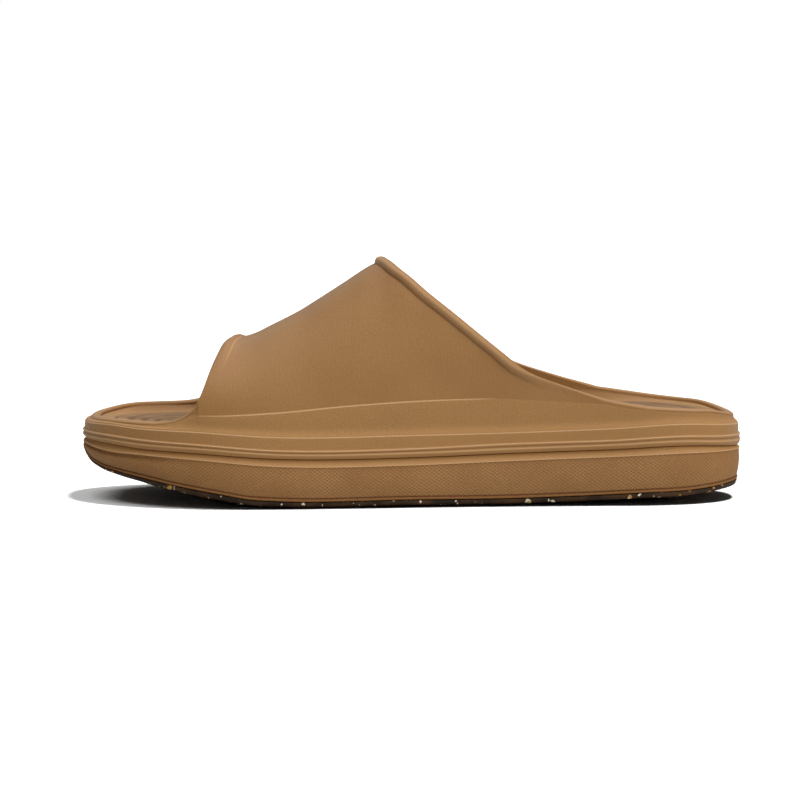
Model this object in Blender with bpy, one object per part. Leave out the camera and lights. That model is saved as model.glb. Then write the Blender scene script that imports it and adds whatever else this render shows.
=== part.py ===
"""A moulded sport slide, left foot: strap upper, ribbed midsole, wrapped outsole and insole.

The toe points along -X, the lateral side faces -Y, and the floor is the plane z = 0.
Places along the shoe are shares of its length, counted from the heel (0) to the toe (1).
"""
from math import cos, hypot, pi, radians, sin

import bmesh
import bpy
from mathutils import Matrix, Vector

# Main sizes in metres.
LENGTH = 0.290
BALL_WIDTH = 0.108
HEEL_WIDTH = 0.078
RIM_HEIGHT = 0.043
TOE_RIM_RISE = 0.0015
TOE_OPENING_HEIGHT = 0.0697
INSTEP_HEIGHT = 0.1037
TOE_SPRING = 0.021
HEEL_LIFT = 0.006

# Walls, layers and the gap that touching pieces keep.
STRAP_WALL = 0.0042
RIM_INNER_INSET = 0.0072
INSOLE_THICKNESS = 0.004
OUTSOLE_THICKNESS = 0.0026
CLEARANCE = 0.0003

# Relief of the side, each an inset or a step measured from the widest bead.
LEDGE_STEP = 0.0009
WALL_LEAN = 0.0012
WALL_RISE = 0.0006
GROOVE_DEPTH = 0.0019
SHELF_INSET = 0.0003
LEDGE_BEVEL = 0.0005
LIP_HEIGHT = 0.0011
LIP_PROUD = 0.0002
LIP_GROOVE_WIDTH = 0.0005
LIP_GROOVE_DEPTH = 0.0005
LIP_TOE_SHARE = 0.6
LIP_TOE_FADE = (0.9, 1.0)
WALL_BELLY = (0.4, 0.75)
EDGE_THINNING_SHARE = 0.25
BEAD_ROUND_SHARE = 0.35
SOLE_TUCK = 0.0022
JOINT_FLARE = 0.0004
PANEL_STEP = 0.0004
PANEL_BEVEL_SHARE = 0.04
PANEL_SHARES = (0.3, 0.7)

# The strap's crest lies a little to the medial side, and its sections are superellipses.
CREST_OFFSET = 0.003
SECTION_POWER = 2.35

# Strap edges: a flared lip at the toe opening and a rolled bead at the collar. Each profile is
# the rise on the first hoops from the edge, and each fade is where on the arch it starts and ends.
TOE_LIP_WIDTH = 0.0042
TOE_LIP_RISE = 0.0015
TOE_LIP_PROFILE = (0.9, 1.0, -0.1)
TOE_LIP_FADE = (0.2, 0.6)
COLLAR_BEAD_WIDTH = 0.0042
COLLAR_BEAD_RISE = 0.0017
COLLAR_BEAD_PROFILE = (0.55, 1.0, -0.1)
COLLAR_BEAD_FADE = (0.05, 0.3)

# The medial ends of the toe opening and of the collar lie further back and further forward.
FRONT_SKEW = 0.006
COLLAR_SKEW = 0.007

# Lengths over which the rim sweeps up into the strap, in front of it and behind it.
FRONT_SWEEP = 0.022
REAR_SWEEP = 0.030
SWEEP_POWER = 2.3

# Roundness of the wall's open ends: how far they bulge, as a share of the wall, and the points
# across the wall (share across, share of the bulge).
EDGE_ROUND = 0.32
EDGE_PROFILE = ((0.12, 0.62), (0.5, 1.0), (0.88, 0.62))

# Footbed: how far the middle lies below the insole's edge.
HEEL_CUP = 0.0035
FOREFOOT_DIP = 0.0012
ARCH_RISE = 0.002
INSOLE_ROUND = 0.0008
INSOLE_ROUND_SHARE = 0.03

# Where the heel's cup eases into the forefoot, where the medial arch starts and ends, and how far
# in from the edge the arch is at its full rise.
FOOTBED_EASE = (0.15, 0.60)
ARCH_START = (0.20, 0.40)
ARCH_END = (0.48, 0.68)
ARCH_DEPTH_SHARE = 0.17

# Tread: shallow grooves across the flat parts of the outsole, under the ball and the heel.
TREAD_DEPTH = 0.0012
TREAD_WIDTH = 0.0026
TREAD_PITCH = 0.0125
TREAD_MARGIN = 0.014
TREAD_FIELDS = ((0.52, 0.74), (0.13, 0.33))

# Mesh density, and the shares of the way in to the middle at which the flat caps have rings.
ARC_SAMPLES = 200
STRAP_STEPS = 12
HEEL_STEPS = 22
TOE_STEPS = 24
ARCH_STEPS = 22
SOLE_DEPTHS = (0.0, 0.07, 0.15, 0.25, 0.42, 0.6, 1.0)
BED_DEPTHS = (0.0, 0.15, 0.35, 0.65, 1.0)

# Half widths: the share of the way from the heel's half width to the ball's, along the length
# from heel to toe, before the ends are rounded off.
OUTLINE_COLUMNS = ("along", "lateral", "medial")
OUTLINE = (
    (0.00, -0.02, -0.02),
    (0.15, 0.02, 0.00),
    (0.30, 0.16, 0.02),
    (0.45, 0.42, 0.06),
    (0.58, 0.74, 0.34),
    (0.70, 0.98, 0.78),
    (0.78, 1.00, 1.00),
    (0.88, 0.86, 1.02),
    (1.00, 0.60, 0.96),
)
HEEL_ROUND = (0.17, 2.25)
TOE_ROUND = (0.29, 2.35)
TOE_TIP_SIDE = 0.06

# Heights of the lines round the side, as shares of the rim height, on top of a share of the toe
# spring, with which they rise at the toe.
SIDE_COLUMNS = ("along", "spring", "rim", "ledge_high", "ledge_low", "bead", "groove", "shelf")
SIDE = (
    (0.00, 0.00, 0.879, 0.769, 0.662, 0.604, 0.548, 0.520),
    (0.04, 0.00, 0.940, 0.795, 0.677, 0.620, 0.576, 0.524),
    (0.08, 0.00, 0.960, 0.812, 0.691, 0.638, 0.592, 0.526),
    (0.21, 0.00, 1.005, 0.775, 0.656, 0.610, 0.563, 0.497),
    (0.36, 0.00, 0.980, 0.741, 0.629, 0.577, 0.533, 0.463),
    (0.49, 0.00, 0.930, 0.727, 0.592, 0.549, 0.503, 0.434),
    (0.70, 0.00, 0.870, 0.720, 0.586, 0.547, 0.502, 0.434),
    (0.82, 0.00, 0.851, 0.766, 0.642, 0.600, 0.552, 0.495),
    (0.90, 0.30, 0.701, 0.630, 0.520, 0.472, 0.426, 0.377),
    (0.96, 0.62, 0.547, 0.492, 0.391, 0.341, 0.301, 0.237),
    (1.00, 1.00, 0.355, 0.304, 0.212, 0.164, 0.132, 0.092),
)

# The sole's lower edge, as shares of the toe spring, the heel lift and the outsole's thickness.
# Its tuck is a share of the sole tuck, and its crown is how far in towards the middle it is round.
SOLE_COLUMNS = ("along", "spring", "lift", "edge", "tuck", "crown")
SOLE = (
    (0.00, 0.00, 1.06, 1.00, 1.75, 0.60),
    (0.04, 0.00, 0.87, 0.85, 1.50, 0.60),
    (0.08, 0.00, 0.67, 0.90, 1.25, 0.60),
    (0.15, 0.00, 0.53, 0.95, 1.05, 0.60),
    (0.21, 0.00, 0.38, 1.00, 1.00, 0.60),
    (0.36, 0.00, 0.16, 1.00, 1.00, 0.30),
    (0.50, 0.00, 0.15, 1.00, 1.00, 0.25),
    (0.70, 0.02, 0.09, 1.00, 1.00, 0.25),
    (0.745, 0.06, 0.09, 1.00, 1.00, 0.25),
    (0.775, 0.13, 0.09, 1.00, 1.00, 0.25),
    (0.82, 0.24, 0.05, 0.98, 1.05, 0.25),
    (0.86, 0.355, 0.00, 0.95, 1.10, 0.25),
    (0.90, 0.47, 0.00, 0.92, 1.10, 0.25),
    (0.947, 0.60, 0.00, 0.88, 0.95, 0.25),
    (0.972, 0.69, 0.00, 0.85, 0.80, 0.25),
    (0.991, 0.84, 0.00, 0.80, 0.55, 0.25),
    (1.00, 1.00, 0.00, 0.75, 0.35, 0.25),
)

# The underside away from its edge, as shares of the toe spring and of the heel lift.
ROCKER_COLUMNS = ("along", "spring", "lift")
ROCKER = (
    (0.00, 0.00, 0.95),
    (0.04, 0.00, 0.45),
    (0.07, 0.00, 0.12),
    (0.11, 0.00, 0.00),
    (0.74, 0.00, 0.00),
    (0.78, 0.05, 0.00),
    (0.82, 0.17, 0.00),
    (0.90, 0.40, 0.00),
    (0.96, 0.60, 0.00),
    (1.00, 0.92, 0.00),
)

# The strap's crest: its rise from the toe opening's height to the instep's. It runs on past the
# strap at both ends, because the side walls lean in towards it there.
CREST_COLUMNS = ("along", "rise")
CREST = (
    (0.50, 1.26),
    (0.545, 1.00),
    (0.57, 0.90),
    (0.60, 0.73),
    (0.64, 0.51),
    (0.67, 0.35),
    (0.71, 0.18),
    (0.75, 0.00),
    (0.83, -0.10),
)
CREST_REAR = ((0.20, 1.45), (0.36, 1.42))

# The strap's two edges, from the side wall to the crest: the turn round the section in degrees,
# the place along the length and the share of the edge's skew on the medial side.
EDGE_COLUMNS = ("step", "turn", "along", "skew")
FRONT_EDGE = (
    (0.00, 15.7, 0.8150, 1.0),
    (0.08, 21.8, 0.8085, 1.0),
    (0.30, 45.5, 0.7945, 1.0),
    (0.50, 65.0, 0.7820, 0.9),
    (0.70, 78.0, 0.7710, 0.6),
    (0.88, 86.0, 0.7590, 0.2),
    (1.00, 90.0, 0.7560, 0.0),
)
COLLAR_EDGE = (
    (0.00, 5.2, 0.214, 0.0),
    (0.14, 9.2, 0.273, 0.4),
    (0.28, 14.3, 0.334, 0.8),
    (0.37, 19.3, 0.365, 1.0),
    (0.53, 30.8, 0.425, 1.0),
    (0.70, 46.2, 0.486, 0.8),
    (0.82, 59.5, 0.517, 0.5),
    (0.92, 74.5, 0.537, 0.2),
    (1.00, 90.0, 0.543, 0.0),
)

# The line low on the strap, below which the wall stands a little proud.
PANEL_COLUMNS = ("along", "height", "proud")
PANEL = (
    (0.21, 1.06, 0.0),
    (0.37, 1.08, 0.0),
    (0.41, 1.075, 0.7),
    (0.49, 1.06, 1.0),
    (0.59, 1.02, 1.0),
    (0.70, 0.955, 1.0),
    (0.78, 0.925, 0.6),
    (0.83, 0.92, 0.0),
)

# How far the insole's upper edge lies below the rim, as a share of the rim height.
FOOTBED_COLUMNS = ("along", "drop")
FOOTBED = (
    (0.00, 0.030),
    (0.04, 0.065),
    (0.10, 0.065),
    (0.25, 0.093),
    (0.40, 0.092),
    (0.60, 0.078),
    (0.75, 0.072),
    (0.85, 0.064),
    (1.00, 0.048),
)


def slopes(xs, ys):
    """Slope at each row of a table, limited so that the curve through the rows never overshoots."""
    steps = [xs[i + 1] - xs[i] for i in range(len(xs) - 1)]
    rates = [(ys[i + 1] - ys[i]) / steps[i] for i in range(len(steps))]
    result = [rates[0]]
    for i in range(1, len(rates)):
        before, after = rates[i - 1], rates[i]
        if before * after <= 0.0:
            result.append(0.0)
        else:
            near = 2 * steps[i] + steps[i - 1]
            far = steps[i] + 2 * steps[i - 1]
            result.append((near + far) / (near / before + far / after))
    result.append(rates[-1])
    return result


def curve(columns, rows, name):
    """A smooth function of a table's first column that gives the named column."""
    index = columns.index(name)
    xs = [row[0] for row in rows]
    ys = [row[index] for row in rows]
    tangents = slopes(xs, ys)

    def value(x):
        x = min(max(x, xs[0]), xs[-1])
        i = 0
        while i < len(xs) - 2 and x > xs[i + 1]:
            i += 1
        step = xs[i + 1] - xs[i]
        t = (x - xs[i]) / step
        return (
            ys[i] * (1 + 2 * t) * (1 - t) ** 2
            + ys[i + 1] * t * t * (3 - 2 * t)
            + step * (tangents[i] * t * (1 - t) ** 2 - tangents[i + 1] * t * t * (1 - t))
        )

    return value


def past_crest(rows):
    """An edge's rows with one mirrored past the crest, so that the edge crosses it smoothly."""
    step, turn, along, skew = rows[-2]
    return rows + ((2 - step, 180 - turn, along, skew),)


def ramp(x, start, end):
    """An S-shaped ramp from 0 at the start to 1 at the end."""
    t = min(max((x - start) / (end - start), 0.0), 1.0)
    return t * t * (3 - 2 * t)


def mix(a, b, t):
    return a + (b - a) * t


reach_lateral = curve(OUTLINE_COLUMNS, OUTLINE, "lateral")
reach_medial = curve(OUTLINE_COLUMNS, OUTLINE, "medial")
side_line = {name: curve(SIDE_COLUMNS, SIDE, name) for name in SIDE_COLUMNS[1:]}
sole_line = {name: curve(SOLE_COLUMNS, SOLE, name) for name in SOLE_COLUMNS[1:]}
rocker_line = {name: curve(ROCKER_COLUMNS, ROCKER, name) for name in ROCKER_COLUMNS[1:]}
crest_line = curve(CREST_COLUMNS, CREST_REAR + CREST, "rise")
panel_height = curve(PANEL_COLUMNS, PANEL, "height")
panel_proud = curve(PANEL_COLUMNS, PANEL, "proud")
footbed_drop = curve(FOOTBED_COLUMNS, FOOTBED, "drop")
front_edge = {name: curve(EDGE_COLUMNS, past_crest(FRONT_EDGE), name) for name in EDGE_COLUMNS[1:]}
collar_edge = {name: curve(EDGE_COLUMNS, past_crest(COLLAR_EDGE), name) for name in EDGE_COLUMNS[1:]}


def place(along):
    """X of a share of the length, counted from the heel."""
    return (0.5 - along) * LENGTH


def share(x):
    """The share of the length, counted from the heel, at an X."""
    return 0.5 - x / LENGTH


def rounding(along):
    """How the half width shrinks towards the rounded heel and toe."""
    heel, heel_power = HEEL_ROUND
    toe, toe_power = TOE_ROUND
    if along < heel:
        t = 1 - along / heel
        return max(1 - t ** heel_power, 0.0) ** (1 / heel_power)
    if along > 1 - toe:
        t = 1 - (1 - along) / toe
        return max(1 - t ** toe_power, 0.0) ** (1 / toe_power)
    return 1.0


def tip_side(along):
    """Y towards which the two sides close: the toe's tip lies a little to the medial side."""
    return TOE_TIP_SIDE * BALL_WIDTH * ramp(along, 0.6, 1.0)


def outline(along, side):
    """Y of the widest line of the shoe. Side is -1 for lateral and 1 for medial."""
    reach = reach_lateral if side < 0 else reach_medial
    half = mix(HEEL_WIDTH / 2, BALL_WIDTH / 2, reach(along))
    tip = tip_side(along)
    return tip + (side * half - tip) * rounding(along)


def evenly(points, count):
    """Points that split a polyline into a number of equal lengths, with both its ends."""
    lengths = [0.0]
    for a, b in zip(points, points[1:]):
        lengths.append(lengths[-1] + hypot(b[0] - a[0], b[1] - a[1]))
    result = []
    i = 0
    for n in range(count + 1):
        target = lengths[-1] * n / count
        while i < len(points) - 2 and lengths[i + 1] < target:
            i += 1
        t = (target - lengths[i]) / (lengths[i + 1] - lengths[i])
        a, b = points[i], points[i + 1]
        result.append((mix(a[0], b[0], t), mix(a[1], b[1], t)))
    return result


def end_arc(start, end, tip, sides, count):
    """Points round the toe or the heel, from a place on one side to a place on the other."""
    points = []
    there = range(ARC_SAMPLES + 1)
    back = range(ARC_SAMPLES - 1, -1, -1)
    for side, base, order in zip(sides, (start, end), (there, back)):
        for n in order:
            along = mix(base, tip, sin(n / ARC_SAMPLES * pi / 2))
            points.append((place(along), outline(along, side)))
    return evenly(points, count)


def arch_step(m):
    """How far a step of the arch is from the side wall (0) to the crest (1)."""
    across = 2 * m / ARCH_STEPS
    return min(across, 2 - across)


def edge_place(edge, m):
    """Turn in radians and place along the length of an edge of the strap, at a step of the arch."""
    step = arch_step(m)
    turn = radians(edge["turn"](step))
    along = edge["along"](step)
    if 2 * m > ARCH_STEPS:
        skew = -FRONT_SKEW if edge is front_edge else COLLAR_SKEW
        along += edge["skew"](step) * skew / LENGTH
        turn = pi - turn
    return turn, along


def edge_point(edge, m):
    """Point of an edge of the strap at a step of the arch."""
    turn, along = edge_place(edge, m)
    return strap_point(along, turn)


def band_share(edge, other, m, width, most):
    """Share of the way to the other edge that a band of a given width along an edge takes."""
    least_sine = 0.15
    run = edge_point(other, m) - edge_point(edge, m)
    tangent = edge_point(edge, min(m + 1, ARCH_STEPS)) - edge_point(edge, max(m - 1, 0))
    sine = run.normalized().cross(tangent.normalized()).length
    return min(width / (run.length * max(sine, least_sine)), most)


def strap_shares(m):
    """Shares from the front edge to the collar edge for the hoops of the strap, at one step."""
    lip = band_share(front_edge, collar_edge, m, TOE_LIP_WIDTH, 0.08)
    bead = band_share(collar_edge, front_edge, m, COLLAR_BEAD_WIDTH, 0.12)
    first, last = 1.6 * lip, 1 - 1.5 * bead
    inner = [mix(first, last, n / STRAP_STEPS) for n in range(STRAP_STEPS + 1)]
    return [0.0, 0.5 * lip, lip] + inner + [1 - bead, 1 - 0.5 * bead, 1.0]


def side_height(name, along):
    """Height of one of the lines round the side."""
    return side_line[name](along) * RIM_HEIGHT + side_line["spring"](along) * TOE_SPRING


def base_height(along):
    """Height at which the side wall starts to lean in towards the crest."""
    return side_height("ledge_high", along) + WALL_RISE


def wall_inset():
    """Inset of the wall above the upper ledge."""
    return 2 * LEDGE_STEP + WALL_LEAN


def strap_point(along, turn):
    """Point on the strap's outer surface: an arch over the foot at one place along the length."""
    side = -1 if turn <= pi / 2 else 1
    foot = outline(along, side) - side * wall_inset()
    low = base_height(along)
    crest = mix(TOE_OPENING_HEIGHT, INSTEP_HEIGHT, crest_line(along))
    across = abs(cos(turn)) ** (2 / SECTION_POWER)
    up = max(sin(turn), 0.0) ** (2 / SECTION_POWER)
    return Vector((place(along), mix(CREST_OFFSET, foot, across), mix(low, crest, up)))


def strap_normal(along, turn):
    """Outward direction of the strap's surface."""
    near, small_turn, least_turn = 0.002, 0.01, 0.001
    run = strap_point(along - near, turn) - strap_point(along + near, turn)
    low = max(turn - small_turn, least_turn)
    high = min(turn + small_turn, pi - least_turn)
    across = strap_point(along, high) - strap_point(along, low)
    return run.cross(across).normalized()


STRAP_SHARES = [strap_shares(m) for m in range(ARCH_STEPS + 1)]
HOOPS = len(STRAP_SHARES[0])


def hoop_place(hoop, m):
    """Place along the length and turn of a strap point."""
    t = STRAP_SHARES[m][hoop]
    front_turn, front_along = edge_place(front_edge, m)
    collar_turn, collar_along = edge_place(collar_edge, m)
    return mix(front_along, collar_along, t), mix(front_turn, collar_turn, t)


class Column:
    """One place on the shoe's outline, with the direction that points away from the shoe."""

    def __init__(self, point, before, after, along, axis):
        self.x, self.y = point
        run = Vector((after[0] - before[0], after[1] - before[1])).normalized()
        self.out = Vector((run.y, -run.x, 0.0))
        self.along = along
        self.axis = axis
        self.medial = point[1] > tip_side(along)

    def at(self, inset, height):
        return Vector((self.x, self.y, height)) - self.out * inset


def make_columns():
    """Columns round the shoe: lateral side, heel, medial side and toe, anticlockwise from above."""
    lateral = [hoop_place(hoop, 0)[0] for hoop in range(HOOPS)]
    medial = [hoop_place(hoop, ARCH_STEPS)[0] for hoop in range(HOOPS)]
    points = [(place(along), outline(along, -1)) for along in lateral]
    points += end_arc(lateral[-1], medial[-1], 0.0, (-1, 1), HEEL_STEPS)[1:-1]
    points += [(place(along), outline(along, 1)) for along in reversed(medial)]
    points += end_arc(medial[0], lateral[0], 1.0, (1, -1), TOE_STEPS)[1:-1]
    count = len(points)
    heel_axes = [lateral[-1]] * (HEEL_STEPS - 1)
    toe_axes = [lateral[0]] * (TOE_STEPS - 1)
    axes = lateral + heel_axes + lateral[::-1] + toe_axes
    return [
        Column(points[i], points[i - 1], points[(i + 1) % count], share(points[i][0]), axes[i])
        for i in range(count)
    ]


COLUMNS = make_columns()
HEEL_START = HOOPS - 1
MEDIAL_START = HEEL_START + HEEL_STEPS
TOE_START = MEDIAL_START + HOOPS - 1


def hoop_of(index):
    """The strap's hoop that stands on a column, or None on the toe and the heel."""
    if index <= HEEL_START:
        return index
    if MEDIAL_START <= index <= TOE_START:
        return TOE_START - index
    return None


def edge_rise(hoop, m):
    """How far the lip and the bead lift the strap's surface, fading out down the sides."""
    if hoop < len(TOE_LIP_PROFILE):
        return TOE_LIP_RISE * TOE_LIP_PROFILE[hoop] * ramp(arch_step(m), *TOE_LIP_FADE)
    back = HOOPS - 1 - hoop
    if back < len(COLLAR_BEAD_PROFILE):
        return COLLAR_BEAD_RISE * COLLAR_BEAD_PROFILE[back] * ramp(arch_step(m), *COLLAR_BEAD_FADE)
    return 0.0


def strap_grid():
    """Outer and inner points of the strap, hoop by hoop."""
    outer, inner = [], []
    for hoop in range(HOOPS):
        outer_row, inner_row = [], []
        for m in range(ARCH_STEPS + 1):
            along, turn = hoop_place(hoop, m)
            point, normal = strap_point(along, turn), strap_normal(along, turn)
            outer_row.append(point + normal * edge_rise(hoop, m))
            inner_row.append(point - normal * STRAP_WALL)
        outer.append(outer_row)
        inner.append(inner_row)
    return outer, inner


def rim_level(along, column):
    """Height of the rim's wall below its rounded top, a little more beside the big toe."""
    top = side_height("rim", along) - EDGE_ROUND * (RIM_INNER_INSET - wall_inset())
    half = abs(outline(along, 1) - outline(along, -1)) / 2
    if along < 0.5 or not column.medial:
        return top
    return top + TOE_RIM_RISE * ramp(column.y - tip_side(along), 0.0, half)


def rim_edge(column):
    """Height of the rim's edge, which sweeps up into the strap at both of its ends."""
    hoop, reach = (0, FRONT_SWEEP) if column.along > 0.5 else (HOOPS - 1, REAR_SWEEP)
    start, turn = hoop_place(hoop, ARCH_STEPS if column.medial else 0)
    gone = min(abs(column.along - start) * LENGTH / reach, 1.0)
    lift = strap_point(start, turn).z - rim_level(start, column)
    return rim_level(column.along, column) + lift * (1 - gone) ** SWEEP_POWER


def sole_edge(column):
    """Height of the outsole's lower edge."""
    spring = sole_line["spring"](column.along) * TOE_SPRING
    return spring + sole_line["lift"](column.along) * HEEL_LIFT


def sole_top(column):
    return sole_edge(column) + sole_line["edge"](column.along) * OUTSOLE_THICKNESS


def sole_inset(column):
    return sole_line["tuck"](column.along) * SOLE_TUCK


def underside(point, column, depth):
    """Height under the shoe: flat under ball and heel, rising to the toe and at the edge."""
    along = share(point.x)
    rocker = rocker_line["spring"](along) * TOE_SPRING + rocker_line["lift"](along) * HEEL_LIFT
    return mix(sole_edge(column), rocker, ramp(depth, 0.0, sole_line["crown"](column.along)))


def footbed(column, depth, x):
    """Height of the insole's top, from its edge (depth 0) to the middle (depth 1)."""
    along = share(x)
    edge = side_height("rim", along) - footbed_drop(along) * RIM_HEIGHT
    dip = mix(HEEL_CUP, FOREFOOT_DIP, ramp(along, *FOOTBED_EASE))
    height = edge - dip * ramp(depth, 0.0, 1.0)
    if column.medial:
        arch = ramp(along, *ARCH_START) * (1 - ramp(along, *ARCH_END))
        height += ARCH_RISE * arch * ramp(depth, 0.0, ARCH_DEPTH_SHARE) * (1 - ramp(depth, 0.0, 1.0))
    return height


def spine(column):
    """The point of the middle line to which a column's rings close in."""
    along = column.axis
    return Vector((place(along), (outline(along, -1) + outline(along, 1)) / 2, 0.0))


def cap(inset, depths, height):
    """Rings from an edge in to the spine, with their height given by a function."""
    rings = []
    for depth in depths:
        ring = []
        for column in COLUMNS:
            point = column.at(inset(column), 0.0).lerp(spine(column), depth)
            point.z = height(point, column, depth)
            ring.append(point)
        rings.append(ring)
    return rings


def ring(inset, height):
    """One closed ring of points round the shoe."""
    return [column.at(inset(column), height(column)) for column in COLUMNS]


def add_ring(mesh, points):
    return [mesh.verts.new(point) for point in points]


def bridge(mesh, low, high, closed=True):
    """Quads between two rows of vertices."""
    count = len(low)
    for i in range(count if closed else count - 1):
        j = (i + 1) % count
        mesh.faces.new((low[i], low[j], high[j], high[i]))


def finish(mesh, name, collection, material):
    """Weld the mesh, turn its faces outwards and put it in the scene."""
    bmesh.ops.remove_doubles(mesh, verts=mesh.verts, dist=1e-6)
    bmesh.ops.dissolve_degenerate(mesh, dist=1e-6, edges=mesh.edges)
    bmesh.ops.recalc_face_normals(mesh, faces=mesh.faces)
    data = bpy.data.meshes.new(name)
    mesh.to_mesh(data)
    mesh.free()
    data.materials.append(material)
    data.shade_smooth()
    data.set_sharp_from_angle(angle=radians(35))
    piece = bpy.data.objects.new(name, data)
    collection.objects.link(piece)
    return piece


def stack(name, rings, collection, material):
    """A closed solid from rings that run from the middle of its underside to that of its top."""
    mesh = bmesh.new()
    rows = [add_ring(mesh, points) for points in rings]
    for low, high in zip(rows, rows[1:]):
        bridge(mesh, low, high)
    return finish(mesh, name, collection, material)


def make_material(name, color, roughness):
    material = bpy.data.materials.new(name)
    material.use_nodes = True
    shader = material.node_tree.nodes["Principled BSDF"]
    shader.inputs["Base Color"].default_value = (*color, 1.0)
    shader.inputs["Roughness"].default_value = roughness
    shader.inputs["Metallic"].default_value = 0.0
    material.diffuse_color = (*color, 1.0)
    return material


def outsole_over(point, column, depth):
    """Height of the outsole's top, which the midsole lies on."""
    edge = sole_top(column) - sole_edge(column)
    thickness = mix(edge, OUTSOLE_THICKNESS, ramp(depth, 0.0, EDGE_THINNING_SHARE))
    return underside(point, column, depth) + thickness


def top_inset(column):
    """Inset of the joint between outsole and midsole."""
    return sole_inset(column) - JOINT_FLARE


def make_tread_cutter(collection):
    """One bar for each groove, which stops short of the sole's edge on both sides."""
    mesh = bmesh.new()
    for start, end in TREAD_FIELDS:
        count = int((end - start) * LENGTH / TREAD_PITCH)
        for n in range(count + 1):
            x = place(start) - n * TREAD_PITCH
            low = outline(share(x), -1) + TREAD_MARGIN
            high = outline(share(x), 1) - TREAD_MARGIN
            size = Matrix.Diagonal((TREAD_WIDTH, high - low, 2 * TREAD_DEPTH, 1.0))
            spot = Matrix.Translation((x, (low + high) / 2, 0.0))
            bmesh.ops.create_cube(mesh, size=1.0, matrix=spot @ size)
    data = bpy.data.meshes.new("tread_cutter")
    mesh.to_mesh(data)
    mesh.free()
    cutter = bpy.data.objects.new("tread_cutter", data)
    cutter.hide_render = True
    cutter.display_type = "WIRE"
    collection.objects.link(cutter)
    return cutter


def make_outsole(collection, cutters, material):
    under = cap(sole_inset, SOLE_DEPTHS, underside)
    over = cap(top_inset, SOLE_DEPTHS, outsole_over)
    outsole = stack("outsole", under[::-1] + over, collection, material)
    cut = outsole.modifiers.new("tread", "BOOLEAN")
    cut.operation = "DIFFERENCE"
    cut.solver = "EXACT"
    cut.object = make_tread_cutter(cutters)
    return outsole


def bed_inset(column):
    """Inset of the insole and of the midsole's neck inside the rim."""
    return RIM_INNER_INSET + CLEARANCE


def lip_top(column):
    """Height of the thin lip over the outsole, which is lower at the toe."""
    height = LIP_HEIGHT * mix(1.0, LIP_TOE_SHARE, ramp(column.along, *LIP_TOE_FADE))
    return sole_top(column) + CLEARANCE + height


def side_wall(share_up, share_out):
    """One ring of the textured wall between the lip and the shelf."""
    low = lambda column: lip_top(column) + LIP_GROOVE_WIDTH
    return ring(
        lambda column: mix(top_inset(column), SHELF_INSET, share_out),
        lambda column: mix(low(column), side_height("shelf", column.along), share_up),
    )


def make_midsole(collection, material):
    under = cap(top_inset, SOLE_DEPTHS, lambda *where: outsole_over(*where) + CLEARANCE)
    lip_face = lambda column: top_inset(column) - LIP_PROUD
    lip_groove = lambda column: top_inset(column) + LIP_GROOVE_DEPTH
    sides = [
        ring(lip_face, lip_top),
        ring(lip_groove, lambda column: lip_top(column) + LIP_PROUD),
        ring(lip_face, lambda column: lip_top(column) + LIP_GROOVE_WIDTH),
        side_wall(*WALL_BELLY),
        side_wall(1.0, 1.0),
        ring(lambda column: GROOVE_DEPTH + CLEARANCE, midsole_joint),
        ring(bed_inset, midsole_joint),
    ]
    bed = lambda point, column, depth: insole_under(point, column, depth) - CLEARANCE
    over = cap(bed_inset, BED_DEPTHS, bed)
    return stack("midsole", under[::-1] + sides + over, collection, material)


def insole_over(point, column, depth):
    """Height of the insole's top, whose edge is rounded over."""
    round_edge = INSOLE_ROUND if depth == 0.0 else 0.0
    return footbed(column, depth, point.x) - round_edge


def insole_under(point, column, depth):
    """Height of the insole's underside."""
    return footbed(column, depth, point.x) - INSOLE_THICKNESS


def make_insole(collection, material):
    under = cap(bed_inset, BED_DEPTHS, insole_under)
    over = cap(bed_inset, (0.0, INSOLE_ROUND_SHARE) + BED_DEPTHS[1:], insole_over)
    return stack("insole", under[::-1] + over, collection, material)


def upper_joint(column):
    """Height of the upper's underside, at the groove round the side."""
    return side_height("groove", column.along) + CLEARANCE / 2


def midsole_joint(column):
    """Height of the midsole's upper face, at the groove round the side."""
    return side_height("groove", column.along) - CLEARANCE / 2


def rim_rings():
    """Rings of the upper's outer wall, from its underside to the foot of the strap's surface."""
    bead = lambda column: side_height("bead", column.along)
    rings = [
        ring(lambda column: GROOVE_DEPTH, upper_joint),
        ring(
            lambda column: BEAD_ROUND_SHARE * GROOVE_DEPTH,
            lambda column: mix(upper_joint(column), bead(column), BEAD_ROUND_SHARE),
        ),
        ring(lambda column: 0.0, bead),
    ]
    for count, name in enumerate(("ledge_low", "ledge_high")):
        below = lambda column: side_height(name, column.along) - LEDGE_BEVEL
        above = lambda column: side_height(name, column.along) + LEDGE_BEVEL
        rings.append(ring(lambda column: count * LEDGE_STEP, below))
        rings.append(ring(lambda column: (count + 1) * LEDGE_STEP, above))
    rings.append(ring(lambda column: wall_inset(), lambda column: base_height(column.along)))
    return rings


def panel_points(column, base, edge):
    """The two points of the strap's outer wall that make the panel line, low on the strap."""
    low, high = PANEL_SHARES
    at_line = (panel_height(column.along) * RIM_HEIGHT - base.z) / (edge.z - base.z)
    at_line = min(max(at_line, low), high)
    proud = column.out * PANEL_STEP * panel_proud(column.along)
    below = base.lerp(edge, at_line - PANEL_BEVEL_SHARE) + proud
    return below, base.lerp(edge, at_line + PANEL_BEVEL_SHARE)


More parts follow.
